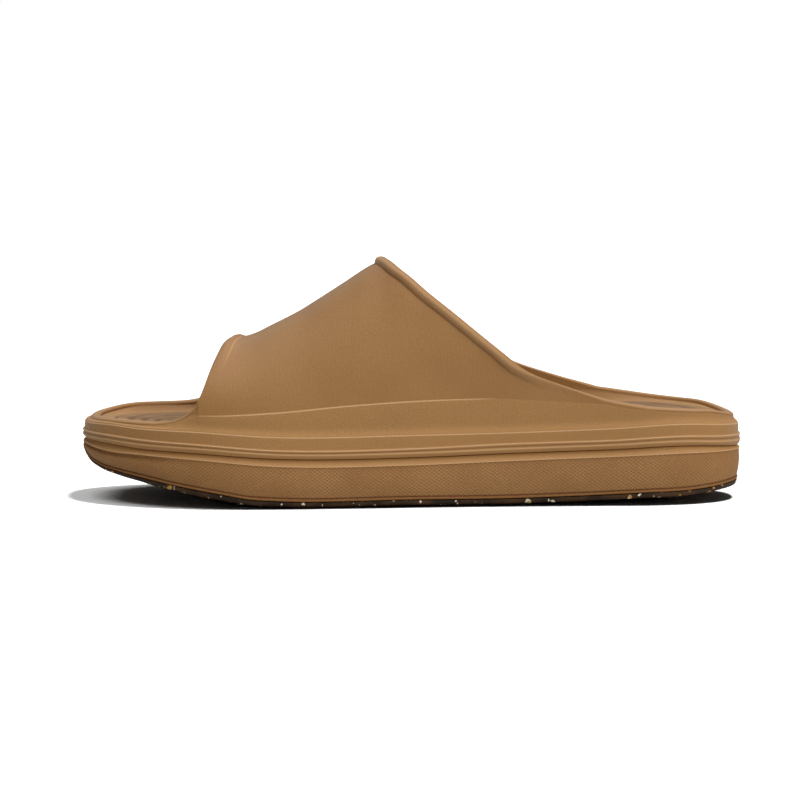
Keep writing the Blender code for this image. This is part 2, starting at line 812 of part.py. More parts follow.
def upper_walls(outer_grid, inner_grid):
    """Rings of the upper's outer and inner walls, from the joint up to the strap and the rim."""
    outer = rim_rings()
    proud, plain, edges, backs = [], [], [], []
    for index, (column, base) in enumerate(zip(COLUMNS, outer[-1])):
        hoop = hoop_of(index)
        if hoop is None:
            edge = column.at(wall_inset(), rim_edge(column))
            back = column.at(RIM_INNER_INSET, edge.z)
            panel = base, base
        else:
            m = ARCH_STEPS if column.medial else 0
            edge = outer_grid[hoop][m]
            back = inner_grid[hoop][m]
            panel = panel_points(column, base, edge)
        proud.append(panel[0])
        plain.append(panel[1])
        edges.append(edge)
        backs.append(back)
    inner_inset = lambda column: RIM_INNER_INSET
    inner = [
        ring(inner_inset, upper_joint),
        ring(inner_inset, lambda column: base_height(column.along)),
        backs,
    ]
    return outer + [proud, plain, edges], inner


def strap_rows(mesh, grid, ends):
    """Surface of the strap between the two stretches of the wall's top ring that carry it."""
    rows = []
    for hoop in range(HOOPS):
        middle = add_ring(mesh, grid[hoop][1:-1])
        rows.append([ends[hoop]] + middle + [ends[TOE_START - hoop]])
    for a, b in zip(rows, rows[1:]):
        bridge(mesh, a, b, closed=False)
    return rows


def end_direction(rows, hoop, inner_hoop, m):
    """Direction in which the strap's surface runs out over an edge, at a step of the arch."""
    return (rows[hoop][m].co - rows[inner_hoop][m].co).normalized()


def round_over(mesh, outer, inner, outer_rows, inner_rows, ring_ids, hoop, inner_hoop):
    """Round one open end of the wall over, along the rim and then back along the strap's edge."""
    loop = []
    for index in ring_ids:
        away = (outer[-1][index].co - outer[-2][index].co).normalized()
        if hoop_of(index) is not None:
            m = ARCH_STEPS if COLUMNS[index].medial else 0
            away = (away + end_direction(outer_rows, hoop, inner_hoop, m)).normalized()
        loop.append((outer[-1][index], inner[-1][index], away))
    steps = range(1, ARCH_STEPS)
    if COLUMNS[ring_ids[-1]].medial:
        steps = reversed(steps)
    for m in steps:
        away = end_direction(outer_rows, hoop, inner_hoop, m)
        loop.append((outer_rows[hoop][m], inner_rows[hoop][m], away))
    rows = [[outside for outside, _, _ in loop]]
    for across, bulge in EDGE_PROFILE:
        row = []
        for outside, inside, away in loop:
            wall = (inside.co - outside.co).length
            row.append(outside.co.lerp(inside.co, across) + away * (wall * EDGE_ROUND * bulge))
        rows.append(add_ring(mesh, row))
    rows.append([inside for _, inside, _ in loop])
    for a, b in zip(rows, rows[1:]):
        bridge(mesh, a, b)


def make_upper(collection, material):
    outer_grid, inner_grid = strap_grid()
    outer_rings, inner_rings = upper_walls(outer_grid, inner_grid)
    mesh = bmesh.new()
    outer = [add_ring(mesh, points) for points in outer_rings]
    inner = [add_ring(mesh, points) for points in inner_rings]
    for low, high in zip(outer, outer[1:]):
        bridge(mesh, low, high)
    for low, high in zip(inner, inner[1:]):
        bridge(mesh, high, low)
    bridge(mesh, inner[0], outer[0])
    outer_rows = strap_rows(mesh, outer_grid, outer[-1])
    inner_rows = strap_rows(mesh, inner_grid, inner[-1])
    toe_ids = list(range(TOE_START, len(COLUMNS))) + [0]
    heel_ids = list(range(HEEL_START, MEDIAL_START + 1))
    round_over(mesh, outer, inner, outer_rows, inner_rows, toe_ids, 0, 2)
    round_over(mesh, outer, inner, outer_rows, inner_rows, heel_ids, HOOPS - 1, HOOPS - 3)
    return finish(mesh, "upper", collection, material)


def clear_scene():
    for item in list(bpy.data.objects):
        bpy.data.objects.remove(item, do_unlink=True)


def main():
    clear_scene()
    collection = bpy.data.collections.new("sport_slide")
    cutters = bpy.data.collections.new("cutters")
    bpy.context.scene.collection.children.link(collection)
    bpy.context.scene.collection.children.link(cutters)
    tan = make_material("moulded_tan", (0.35, 0.18, 0.075), 0.55)
    tan_side = make_material("textured_tan", (0.28, 0.14, 0.06), 0.6)
    dark = make_material("dark_rubber", (0.035, 0.022, 0.013), 0.6)
    lining = make_material("footbed_grey_brown", (0.27, 0.19, 0.12), 0.75)
    make_upper(collection, tan)
    make_midsole(collection, tan_side)
    make_outsole(collection, cutters, dark)
    make_insole(collection, lining)


main()
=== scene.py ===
"""Looks of a moulded sport slide, left foot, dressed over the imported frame.

The toe points along -X, the lateral side faces -Y, and the floor is the plane z = 0. The forms
follow the same named sizes and tables as the solids, with finer steps and rounder relief.
"""
from math import asin, cos, hypot, pi, radians, sin

import bmesh
import bpy
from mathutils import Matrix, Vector


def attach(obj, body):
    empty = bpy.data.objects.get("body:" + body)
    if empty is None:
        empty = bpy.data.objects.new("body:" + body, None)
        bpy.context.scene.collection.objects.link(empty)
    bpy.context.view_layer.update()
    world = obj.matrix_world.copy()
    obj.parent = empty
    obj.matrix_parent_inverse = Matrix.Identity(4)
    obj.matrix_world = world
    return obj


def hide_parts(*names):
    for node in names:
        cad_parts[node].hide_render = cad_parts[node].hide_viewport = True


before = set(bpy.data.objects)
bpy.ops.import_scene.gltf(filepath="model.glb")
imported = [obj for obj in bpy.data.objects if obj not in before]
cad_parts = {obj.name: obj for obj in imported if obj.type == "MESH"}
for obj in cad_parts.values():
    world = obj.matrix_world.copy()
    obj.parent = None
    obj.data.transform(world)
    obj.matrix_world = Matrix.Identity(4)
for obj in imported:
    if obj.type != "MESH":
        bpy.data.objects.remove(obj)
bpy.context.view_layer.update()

# Main sizes in metres.
LENGTH = 0.290
BALL_WIDTH = 0.108
HEEL_WIDTH = 0.078
RIM_HEIGHT = 0.043
TOE_OPENING_HEIGHT = 0.0697
INSTEP_HEIGHT = 0.1037
TOE_SPRING = 0.021
HEEL_LIFT = 0.006

# How much higher the rim is beside the big toe, and where along the length that fades out.
TOE_RIM_RISE = 0.0020
TOE_RIM_FADE = (0.92, 1.03)

# Walls, layers and the gap that touching pieces keep.
STRAP_WALL = 0.0042
RIM_INNER_INSET = 0.0072
INSOLE_THICKNESS = 0.004
OUTSOLE_THICKNESS = 0.0026
CLEARANCE = 0.0003

# Relief of the side: insets measured from the widest bead, and how far the wall's foot leans in and
# rises over the upper ledge.
LEDGE_STEP = 0.0009
GROOVE_DEPTH = 0.0014
SHELF_INSET = 0.0003
WALL_LEAN = 0.0012
WALL_RISE = 0.0006

# The thin lip over the outsole, lower at the toe, and the groove above it.
LIP_HEIGHT = 0.0011
LIP_PROUD = 0.0002
LIP_GROOVE_WIDTH = 0.0005
LIP_GROOVE_DEPTH = 0.0005
LIP_TOE_SHARE = 0.6
LIP_TOE_FADE = (0.9, 1.0)

# The outsole: how far its edge tucks in, how far its joint flares out again, and how far in towards
# the middle it reaches its full thickness.
SOLE_TUCK = 0.0022
JOINT_FLARE = 0.0004
EDGE_THINNING_SHARE = 0.25

# The strap's crest lies a little to the medial side, and its sections are superellipses.
CREST_OFFSET = 0.003
SECTION_POWER = 2.35

# Strap edges: a flared lip at the toe opening and a rolled bead at the collar. Each fade is where
# on the arch it starts and ends, and each most is the share of the strap's length that it may take.
TOE_LIP_WIDTH = 0.0042
TOE_LIP_RISE = 0.0015
TOE_LIP_FADE = (0.2, 0.6)
TOE_LIP_MOST = 0.08
COLLAR_BEAD_WIDTH = 0.0042
COLLAR_BEAD_RISE = 0.0017
COLLAR_BEAD_FADE = (0.05, 0.3)
COLLAR_BEAD_MOST = 0.12

# The medial ends of the toe opening and of the collar lie further back and further forward.
FRONT_SKEW = 0.006
COLLAR_SKEW = 0.007

# The rim sweeps up into the strap in front of it and behind it: the length and how steeply it ends,
# and how much longer it is behind the strap on the medial side.
FRONT_SWEEP = (0.032, 4.2)
REAR_SWEEP = (0.030, 2.3)
MEDIAL_SWEEP_SHARE = 1.35

# Footbed: how far the middle lies below the insole's edge, and how high the medial arch is.
HEEL_CUP = 0.0035
FOREFOOT_DIP = 0.0012
ARCH_RISE = 0.002

# The insole's rounded edge: how far it drops, and how far in towards the middle it starts.
INSOLE_ROUND = 0.0008
INSOLE_ROUND_SHARE = 0.03

# Where the heel's cup eases into the forefoot, where the medial arch starts and ends, and how far
# in from the edge the arch is at its full rise.
FOOTBED_EASE = (0.15, 0.60)
ARCH_START = (0.20, 0.40)
ARCH_END = (0.48, 0.68)
ARCH_DEPTH_SHARE = 0.17

# Tread: shallow grooves across the flat parts of the outsole, under the ball and the heel. The
# section runs from below a groove's mouth to its floor, as shares of half its width and its depth.
# Edges over the sharp angle, in degrees, are shaded as corners.
TREAD_DEPTH = 0.0012
TREAD_WIDTH = 0.0026
TREAD_PITCH = 0.0125
TREAD_MARGIN = 0.014
TREAD_FIELDS = ((0.52, 0.74), (0.13, 0.33))
TREAD_SECTION = ((1.25, -1.0), (1.05, 0.0), (0.7, 1.0))
SHARP_ANGLE = 40

# Mesh density: steps along and round the shoe, rings on the caps that show, and the shares of the
# way in to the middle at which the hidden caps have rings.
ARC_SAMPLES = 600
STRAP_STEPS = 64
HEEL_STEPS = 104
TOE_STEPS = 116
ARCH_STEPS = 96
SOLE_RINGS = 28
INSOLE_EDGE_RINGS = 5
INSOLE_RINGS = 40
SOLE_DEPTHS = (0.0, 0.07, 0.15, 0.25, 0.42, 0.6, 1.0)
BED_DEPTHS = (0.0, 0.15, 0.35, 0.65, 1.0)

# Half widths: the share of the way from the heel's half width to the ball's, along the length
# from heel to toe, before the ends are rounded off.
OUTLINE_COLUMNS = ("along", "lateral", "medial")
OUTLINE = (
    (0.00, -0.02, -0.02),
    (0.15, 0.02, 0.00),
    (0.30, 0.16, 0.02),
    (0.45, 0.42, 0.06),
    (0.58, 0.74, 0.34),
    (0.70, 0.98, 0.78),
    (0.78, 1.00, 1.00),
    (0.88, 0.86, 1.02),
    (1.00, 0.60, 0.96),
)

# Roundness of heel and toe: its share of the length and the power of its curve. The toe's tip lies
# to the medial side by a share of the ball's width, which grows from a place along the length.
HEEL_ROUND = (0.17, 2.25)
TOE_ROUND = (0.29, 2.35)
TOE_TIP_SIDE = 0.06
TOE_TIP_FADE = (0.6, 1.0)

# Heights of the lines round the side, as shares of the rim height, on top of a share of the toe
# spring, with which they rise at the toe.
SIDE_COLUMNS = ("along", "spring", "rim", "ledge_high", "ledge_low", "bead", "groove", "shelf")
SIDE = (
    (0.00, 0.00, 0.879, 0.769, 0.662, 0.604, 0.548, 0.520),
    (0.04, 0.00, 0.940, 0.795, 0.677, 0.620, 0.576, 0.524),
    (0.08, 0.00, 0.960, 0.812, 0.691, 0.638, 0.592, 0.526),
    (0.21, 0.00, 1.005, 0.775, 0.656, 0.610, 0.563, 0.497),
    (0.36, 0.00, 0.980, 0.741, 0.629, 0.577, 0.533, 0.463),
    (0.49, 0.00, 0.930, 0.727, 0.592, 0.549, 0.503, 0.434),
    (0.70, 0.00, 0.870, 0.720, 0.586, 0.547, 0.502, 0.434),
    (0.82, 0.00, 0.851, 0.766, 0.642, 0.600, 0.552, 0.495),
    (0.90, 0.30, 0.701, 0.630, 0.520, 0.472, 0.426, 0.377),
    (0.96, 0.62, 0.547, 0.492, 0.391, 0.341, 0.301, 0.237),
    (1.00, 1.00, 0.352, 0.290, 0.208, 0.162, 0.132, 0.092),
)

# The sole's lower edge, as shares of the toe spring, the heel lift and the outsole's thickness.
# Its tuck is a share of the sole tuck, and its crown is how far in towards the middle it is round.
SOLE_COLUMNS = ("along", "spring", "lift", "edge", "tuck", "crown")
SOLE = (
    (0.00, 0.00, 1.02, 0.90, 0.75, 0.60),
    (0.04, 0.00, 0.82, 0.80, 0.90, 0.60),
    (0.08, 0.00, 0.63, 0.85, 0.95, 0.60),
    (0.15, 0.00, 0.51, 0.85, 1.00, 0.60),
    (0.21, 0.00, 0.38, 0.85, 1.00, 0.60),
    (0.36, 0.00, 0.16, 0.85, 1.00, 0.30),
    (0.50, 0.00, 0.15, 0.85, 1.00, 0.25),
    (0.70, 0.02, 0.09, 0.85, 1.00, 0.25),
    (0.745, 0.06, 0.09, 0.87, 1.00, 0.25),
    (0.775, 0.13, 0.09, 0.90, 1.00, 0.25),
    (0.82, 0.24, 0.05, 0.90, 1.05, 0.25),
    (0.86, 0.355, 0.00, 0.82, 1.10, 0.25),
    (0.90, 0.47, 0.00, 0.72, 1.10, 0.25),
    (0.947, 0.60, 0.00, 0.60, 0.95, 0.25),
    (0.972, 0.69, 0.00, 0.52, 0.80, 0.25),
    (0.991, 0.84, 0.00, 0.46, 0.55, 0.25),
    (1.00, 1.00, 0.00, 0.44, 0.35, 0.25),
)

# The underside away from its edge, as shares of the toe spring and of the heel lift.
ROCKER_COLUMNS = ("along", "spring", "lift")
ROCKER = (
    (0.00, 0.00, 0.95),
    (0.04, 0.00, 0.45),
    (0.07, 0.00, 0.12),
    (0.11, 0.00, 0.00),
    (0.74, 0.00, 0.00),
    (0.78, 0.05, 0.00),
    (0.82, 0.17, 0.00),
    (0.90, 0.40, 0.00),
    (0.96, 0.60, 0.00),
    (1.00, 0.92, 0.00),
)

# The strap's crest: its rise from the toe opening's height to the instep's. It runs on past the
# strap at both ends, because the side walls lean in towards it there.
CREST_COLUMNS = ("along", "rise")
CREST = (
    (0.50, 1.26),
    (0.545, 1.02),
    (0.57, 0.90),
    (0.60, 0.73),
    (0.64, 0.51),
    (0.67, 0.35),
    (0.71, 0.174),
    (0.74, 0.050),
    (0.76, 0.00),
    (0.83, -0.07),
)
CREST_REAR = ((0.20, 1.45), (0.36, 1.42))

# The strap's two edges, from the side wall to the crest: the turn round the section in degrees,
# the place along the length and the share of the edge's skew on the medial side.
EDGE_COLUMNS = ("step", "turn", "along", "skew")
FRONT_EDGE = (
    (0.00, 15.7, 0.8150, 1.0),
    (0.08, 21.8, 0.8085, 1.0),
    (0.30, 45.5, 0.7945, 1.0),
    (0.50, 65.0, 0.7842, 0.9),
    (0.70, 78.0, 0.7792, 0.6),
    (0.88, 86.0, 0.7750, 0.2),
    (1.00, 90.0, 0.7715, 0.0),
)
COLLAR_EDGE = (
    (0.00, 5.2, 0.214, 0.0),
    (0.14, 9.2, 0.273, 0.4),
    (0.28, 14.3, 0.334, 0.8),
    (0.37, 19.3, 0.365, 1.0),
    (0.53, 30.8, 0.425, 1.0),
    (0.70, 46.2, 0.486, 0.8),
    (0.82, 59.5, 0.517, 0.5),
    (0.92, 74.5, 0.534, 0.2),
    (1.00, 90.0, 0.543, 0.0),
)

# The line low on the strap, below which the wall stands a little proud.
PANEL_COLUMNS = ("along", "height", "proud")
PANEL = (
    (0.21, 1.06, 0.0),
    (0.37, 1.08, 0.0),
    (0.41, 1.075, 0.7),
    (0.49, 1.06, 1.0),
    (0.59, 1.02, 1.0),
    (0.70, 0.955, 1.0),
    (0.78, 0.925, 0.6),
    (0.83, 0.92, 0.0),
)

# How far the insole's upper edge lies below the rim, as a share of the rim height.
FOOTBED_COLUMNS = ("along", "drop")
FOOTBED = (
    (0.00, 0.030),
    (0.04, 0.065),
    (0.10, 0.065),
    (0.25, 0.093),
    (0.40, 0.092),
    (0.60, 0.078),
    (0.75, 0.072),
    (0.85, 0.064),
    (1.00, 0.048),
)

# Finer relief of the side, from the groove up: the level (0 groove, 1 bead, 2 lower ledge, 3 upper
# ledge, 4 foot of the wall), the inset as a share of a ledge's step, and the tone of painted light
# and shade (1 for a painted highlight on a ridge, -1 for painted shade in a groove).
RELIEF_COLUMNS = ("level", "inset", "tone")
RELIEF = (
    (0.00, 1.00, -0.1),
    (0.15, 0.75, -0.1),
    (0.40, 0.38, -0.05),
    (0.70, 0.12, 0.0),
    (0.90, 0.00, 0.3),
    (1.00, 0.02, 0.75),
    (1.12, 0.12, 0.5),
    (1.30, 0.34, -0.1),
    (1.48, 0.42, -0.4),
    (1.62, 0.30, -0.1),
    (1.80, 0.10, 0.2),
    (1.95, 0.04, 0.7),
    (2.01, 0.22, 1.0),
    (2.05, 0.75, 0.3),
    (2.10, 0.96, 0.0),
    (2.50, 1.00, 0.0),
    (2.90, 1.00, 0.0),
    (2.96, 1.04, 0.7),
    (3.00, 1.20, 1.0),
    (3.20, 1.35, 0.2),
    (3.50, 1.45, 0.0),
    (4.00, 1.60, 0.0),
)
RELIEF_STEPS = 3

# The hollow fillet at the foot of the wall above the upper ledge, and the most of the wall's height
# that it takes.
FILLET_HEIGHT = 0.0032
FILLET_MOST = 0.8
FILLET_DEPTH = 0.00156
FILLET_POWER = 2.2

# The panel line on that wall: its width and the most of the wall that it takes, its painted
# highlight, how proud the wall is below it, where across the line it steps back, and between which
# shares of the wall's height the line stays. Above it the hatching is weaker.
PANEL_LINE_WIDTH = 0.0004
PANEL_LINE_MOST = 0.08
PANEL_LINE_HIGHLIGHT = 1.0
PANEL_RISE = 0.0005
PANEL_STEP = (-0.5, 1.0)
PANEL_SHARES = (0.2, 0.88)
HATCH_ABOVE = 0.3

# Rings of that wall. Below and above the line they are shares of the wall's height there, and at
# the line they are its widths, over a reach of as many widths to each side.
PANEL_REACH = 2
WALL_STAGES = (
    [("below", t) for t in (0.0, 0.06, 0.12, 0.2, 0.3, 0.45, 0.6, 0.75, 0.88)]
    + [("line", t) for t in (-1.6, -1.0, -0.5, -0.2, 0.1, 0.4, 0.7, 1.0, 1.5)]
    + [("above", t) for t in (0.12, 0.28, 0.45, 0.62, 0.8, 1.0)]
)
INNER_SHARES = (0.3, 0.6, 1.0)

# Bands along the strap's edges: the share of the band's width from the edge, the rise as a share
# of the band's full rise, and the tone: painted highlight on the lip's back edge and on the bead's
# top, and painted shade in the bead's crease.
BAND_COLUMNS = ("across", "rise", "tone")
LIP_BAND = (
    (0.00, 0.72, 0.0),
    (0.20, 0.94, 0.0),
    (0.45, 1.00, 0.0),
    (0.75, 0.72, 0.0),
    (0.90, 0.45, 0.0),
    (1.00, 0.28, 0.55),
    (1.12, 0.16, 0.0),
    (1.60, 0.00, 0.0),
)
BEAD_BAND = (
    (0.00, 0.55, 0.0),
    (0.25, 0.90, 0.3),
    (0.50, 1.00, 0.4),
    (0.78, 0.62, 0.25),
    (0.93, 0.20, 0.0),
    (0.99, 0.00, -0.7),
    (1.06, -0.05, -0.1),
    (1.30, -0.02, 0.0),
    (1.60, 0.00, 0.0),
)

# How wide the collar's bead is from the side wall to the crest, as a share of its width.
BEAD_WIDTH_COLUMNS = ("step", "width")
BEAD_WIDTH = (
    (0.00, 1.20),
    (0.12, 1.40),
    (0.25, 1.25),
    (0.38, 1.65),
    (0.56, 1.78),
    (0.69, 1.40),
    (0.80, 0.95),
    (0.90, 0.93),
    (1.00, 1.00),
)

# The shares of a band's width at which the strap has hoops.
BAND_SHARES = (
    0.0, 0.1, 0.2, 0.32, 0.45, 0.58, 0.7, 0.8, 0.88, 0.94, 1.0, 1.06, 1.14, 1.26, 1.42, 1.6,
)

# Roundness of the wall's open ends: how far they bulge as a share of the wall, the power of that
# curve, and how far past the middle of the wall the rim is highest (1 for the middle). The bulge
# follows a direction that is averaged over a reach of neighbours on each side.
EDGE_ROUND = 0.32
ROUND_POWER = 0.8
ROUND_STEPS = 12
RIM_SKEW = 1.5
EASE_REACH = 12

# Painted highlight on the rounded ends, and painted light on the inner side.
RIM_HIGHLIGHT = 0.25
INNER_LIGHT = 0.15

# At the toe the wall's top leans in a little more: how far, and where along the length.
TOE_LEAN = 0.0007
TOE_LEAN_FADE = (0.93, 1.0)

# The textured wall of the sole: how far out it is at each share of its height, the shares at which
# it has rings, and how much painted shade its foot gets in the lip's groove.
BELLY_COLUMNS = ("up", "out")
BELLY = ((0.0, -0.1), (0.2, 0.42), (0.4, 0.74), (0.7, 0.94), (1.0, 1.0))
WALL_SHARES = (0.0, 0.03, 0.08, 0.16, 0.25, 0.35, 0.45, 0.55, 0.65, 0.74, 0.82, 0.89, 0.95, 1.0)
GROOVE_SHADE = 0.4

# How far that wall is set back under the shelf, from a share of its height on, and more at the toe.
UNDERCUT = 0.00025
UNDERCUT_TOE = 0.0014
UNDERCUT_FADE = (0.80, 0.93)
UNDERCUT_START = 0.55

# The shelf's rounded edge: its size, then the drop and the inset as shares of it, and the tone:
# painted shade under the edge and a painted highlight on it.
SHELF_EDGE = 0.0005
SHELF_PROFILE = ((0.9, 0.25, -0.6), (0.75, 0.05, 0.0), (0.45, -0.15, 0.6), (0.15, 0.0, 1.0))

# The cove from the shelf up to the groove under the upper: the shares of its height at which it has
# rings, the power of its curve, and its painted light at the foot and painted shade at the top, with
# the power between them.
COVE_SHARES = (0.06, 0.14, 0.24, 0.36, 0.5, 0.64, 0.78, 0.9, 1.0)
COVE_POWER = 1.9
COVE_LIGHT = 0.35
COVE_SHADE = -0.4
COVE_SHADE_POWER = 3

# The cove round the insole, at the foot of the upper's inner wall: its widths and its rises along
# the shoe and at the toe, where along the length they change, the power and the steps of its curve,
# and how far its edge goes down beside the insole.
FLANGE_WIDTHS = (0.003, 0.0068)
FLANGE_RISES = (0.005, 0.011)
FLANGE_EASE = (0.92, 1.0)
FLANGE_POWER = 2.0
FLANGE_STEPS = 8
FLANGE_LOW = 0.0006

# The thin lip over the outsole: share of its height, how proud it is and its painted shade.
LIP_PROFILE = (
    (0.00, -1.0, -0.9),
    (0.12, 0.3, -0.6),
    (0.35, 1.0, -0.5),
    (0.65, 1.0, -0.5),
    (0.88, 0.4, -0.8),
)

# The outsole's edge: share of its height, the inset as a share of the rounding, and the tone.
SOLE_ROUND = 0.0008
SOLE_PROFILE = (
    (0.05, 0.50, 0.0),
    (0.18, 0.15, 0.0),
    (0.40, 0.00, 0.1),
    (0.75, 0.00, 0.0),
    (0.93, 0.12, 0.0),
)

# The insole's soft contour grooves: where they start in from the edge, how far apart, how many, how
# deep and how narrow they are, and where along the length they fade in at the toe and out at the
# heel. The grooves get painted shade, and so does the insole's rounded edge.
CONTOUR_START = 0.10
CONTOUR_PITCH = 0.15
CONTOUR_COUNT = 5
CONTOUR_DEPTH = 0.0006
CONTOUR_POWER = 4
TOE_CONTOUR_FADE = (0.74, 0.80)
HEEL_CONTOUR_FADE = (0.26, 0.34)
EDGE_SHADE = 0.6


def linear(red, green, blue):
    """A colour as the shaders take it, from its display values of 0 to 255."""
    shares = [value / 255 for value in (red, green, blue)]
    return tuple(x / 12.92 if x <= 0.04045 else ((x + 0.055) / 1.055) ** 2.4 for x in shares) + (1.0,)


# Colours. The floor looks white to the camera and throws back a greyer light.
WHITE = (1.0, 1.0, 1.0, 1.0)
FLOOR_COLOR = (0.9, 0.9, 0.9, 1.0)
FLOOR_BOUNCE = (0.36, 0.36, 0.36, 1.0)
FOAM_PALE = linear(170, 125, 74)
FOAM_DEEP = linear(164, 118, 68)
FOAM_GRAIN = linear(136, 93, 52)
FOAM_HATCH = linear(196, 146, 88)
# Colours of the painted highlight on ridges and edges, and of the painted shade in grooves and
# creases.
FOAM_PAINTED_HIGHLIGHT = linear(222, 180, 134)
FOAM_PAINTED_SHADE = linear(92, 55, 24)
WALL_PALE = linear(165, 118, 71)
# Painted light: a lighter copy of the wall's foam, for the lip, the shelf and the cove.
LIT_SHELF_FOAM = linear(182, 132, 74)
WALL_DEEP = linear(160, 113, 66)
# The lattice's raised lines are real; their lighter colour is a painted highlight.
WALL_LINE_HIGHLIGHT = linear(204, 157, 102)
GLUE = linear(90, 34, 14)
RUBBER_DEEP = linear(44, 30, 18)
RUBBER_PALE = linear(78, 53, 28)
FLAKE_CREAM = linear(244, 236, 205)
FLAKE_OCHRE = linear(196, 150, 70)
BED_PALE = linear(166, 130, 92)
BED_DARK = linear(136, 105, 73)
# Painted shade in the insole's contour grooves and on its rounded edge.
BED_PAINTED_SHADE = linear(88, 64, 42)

# Roughness of the moulded foam, which follows its clouds, and its soft sheen.
FOAM_ROUGHNESS = (0.52, 0.6)
FOAM_ROUGHNESS_LEVELS = (0.2, 0.8)
SHEEN = 0.2
SHEEN_ROUGHNESS = 0.35

# Levels of the noises between which one colour gives way to the other.
CLOUD_LEVELS = (0.3, 0.7)
GRAIN_LEVELS = (0.35, 0.65)
GLUE_LEVELS = (0.45, 0.55)
RUBBER_LEVELS = (0.35, 0.7)
FLAKE_LEVELS = (0.25, 0.9)

# Grain and patterns, and the strength of the painted highlight and shade: sizes and depths in
# metres, and how much each tints the colour. A kind of flakes is its spacing, the share left out, and
# the least and largest radius as shares of the spacing.
CLOUD_SIZE = 0.035
PATCH_SIZE = 0.016
PEBBLE_SIZE = 0.0007
PEBBLE_DEPTH = 0.00012
PEBBLE_TINT = 0.18
STREAK_STRETCH = (1.0, 0.3, 0.25)
STREAK_DEPTH = 0.00008
HATCH_SIZES = (0.0011, 0.0009)
HATCH_WIDTH = 0.9
HATCH_DEPTH = 0.00012
HATCH_TINT = 0.7
# How strongly the painted highlight and the painted shade tint the colour.
PAINTED_HIGHLIGHT_TINT = 0.75
PAINTED_SHADE_TINT = 0.85
LATTICE_SIZES = (0.0021, 0.0015)
LATTICE_WIDTH = 0.4
LATTICE_DEPTH = 0.00015
LATTICE_TINT = (0.4, 0.8)
GLUE_SIZE = 0.002
RUBBER_CLOUD_SIZE = 0.012
RUBBER_GRAIN_SIZE = 0.0006
RUBBER_GRAIN_DEPTH = 0.00008
FLAKE_WOBBLE_SIZE = 0.0012
FLAKE_WOBBLE = 0.0016
FLAKE_KINDS = ((0.0044, 0.15, (0.1, 0.3)), (0.0022, 0.55, (0.1, 0.3)))
BLOTCH_SIZE = 0.014
BLOTCH_STRETCH = (0.35, 1.0, 1.0)
BLOTCH_DEPTH = 0.0002
PORE_TINT = 0.3
BED_PAINTED_SHADE_TINT = 0.6
PORE_DEPTH = 0.00015

# Floor and fill, and the lights: strength, softness, azimuth from the camera's side and height, the
# last three in degrees.
FLOOR_SIZE = 40.0
FLOOR_DROP = 0.0001
FLOOR_LIGHTS = (("floor_light", 4.0, 9, 90, 76), ("toe_light", 1.5, 40, -90, 70))
SHOE_LIGHTS = (
    ("front_light", 1.6, 60, 50, 35),
    ("top_light", 1.7, 60, 0, 85),
    ("back_light", 0.65, 60, 180, 55),
)
FILL_STRENGTH = 0.07
BACKDROP_STRENGTH = 1.0

# The photograph's frame, with its pixels per metre at the shoe's middle plane.
SENSOR = 36.0
CAMERA_DISTANCE = 1.6
CAMERA_RISE = 5.0
PHOTO_SIZE = 800
PHOTO_SCALE = 2269
PHOTO_MIDDLE_X = 411
PHOTO_FLOOR_Y = 495.8


def table_rates(xs, ys):
    """Steps from row to row of a table, and the rates of change over them."""
    steps = [xs[i + 1] - xs[i] for i in range(len(xs) - 1)]
    rates = [(ys[i + 1] - ys[i]) / steps[i] for i in range(len(steps))]
    return steps, rates


def slopes(xs, ys):
    """Slope at each row of a table, limited so that the curve through the rows never overshoots."""
    steps, rates = table_rates(xs, ys)
    result = [rates[0]]
    for i in range(1, len(rates)):
        before, after = rates[i - 1], rates[i]
        if before * after <= 0.0:
            result.append(0.0)
        else:
            near = 2 * steps[i] + steps[i - 1]
            far = steps[i] + 2 * steps[i - 1]
            result.append((near + far) / (near / before + far / after))
    result.append(rates[-1])
    return result


def free_slopes(xs, ys):
    """Slope at each row of a table, so that the curve bends evenly from row to row."""
    steps, rates = table_rates(xs, ys)
    inner = [
        (steps[i] * rates[i - 1] + steps[i - 1] * rates[i]) / (steps[i - 1] + steps[i])
        for i in range(1, len(rates))
    ]
    return [rates[0]] + inner + [rates[-1]]


def curve(columns, rows, name, find_slopes=slopes):
    """A smooth function of a table's first column that gives the named column."""
    index = columns.index(name)
    xs = [row[0] for row in rows]
    ys = [row[index] for row in rows]
    tangents = find_slopes(xs, ys)

    def value(x):
        x = min(max(x, xs[0]), xs[-1])
        i = 0
        while i < len(xs) - 2 and x > xs[i + 1]:
            i += 1
        step = xs[i + 1] - xs[i]
        t = (x - xs[i]) / step
        return (
            ys[i] * (1 + 2 * t) * (1 - t) ** 2
            + ys[i + 1] * t * t * (3 - 2 * t)
            + step * (tangents[i] * t * (1 - t) ** 2 - tangents[i + 1] * t * t * (1 - t))
        )

    return value


def curves(columns, rows, find_slopes=slopes):
    """The smooth functions of all columns of a table, by name."""
    return {name: curve(columns, rows, name, find_slopes) for name in columns[1:]}


def past_crest(rows):
    """An edge's rows with one mirrored past the crest, so that the edge crosses it smoothly."""
    step, turn, along, skew = rows[-2]
    return rows + ((2 - step, 180 - turn, along, skew),)


def ramp(x, start, end):
    """An S-shaped ramp from 0 at the start to 1 at the end."""
    t = min(max((x - start) / (end - start), 0.0), 1.0)
    return t * t * (3 - 2 * t)


def mix(a, b, t):
    return a + (b - a) * t


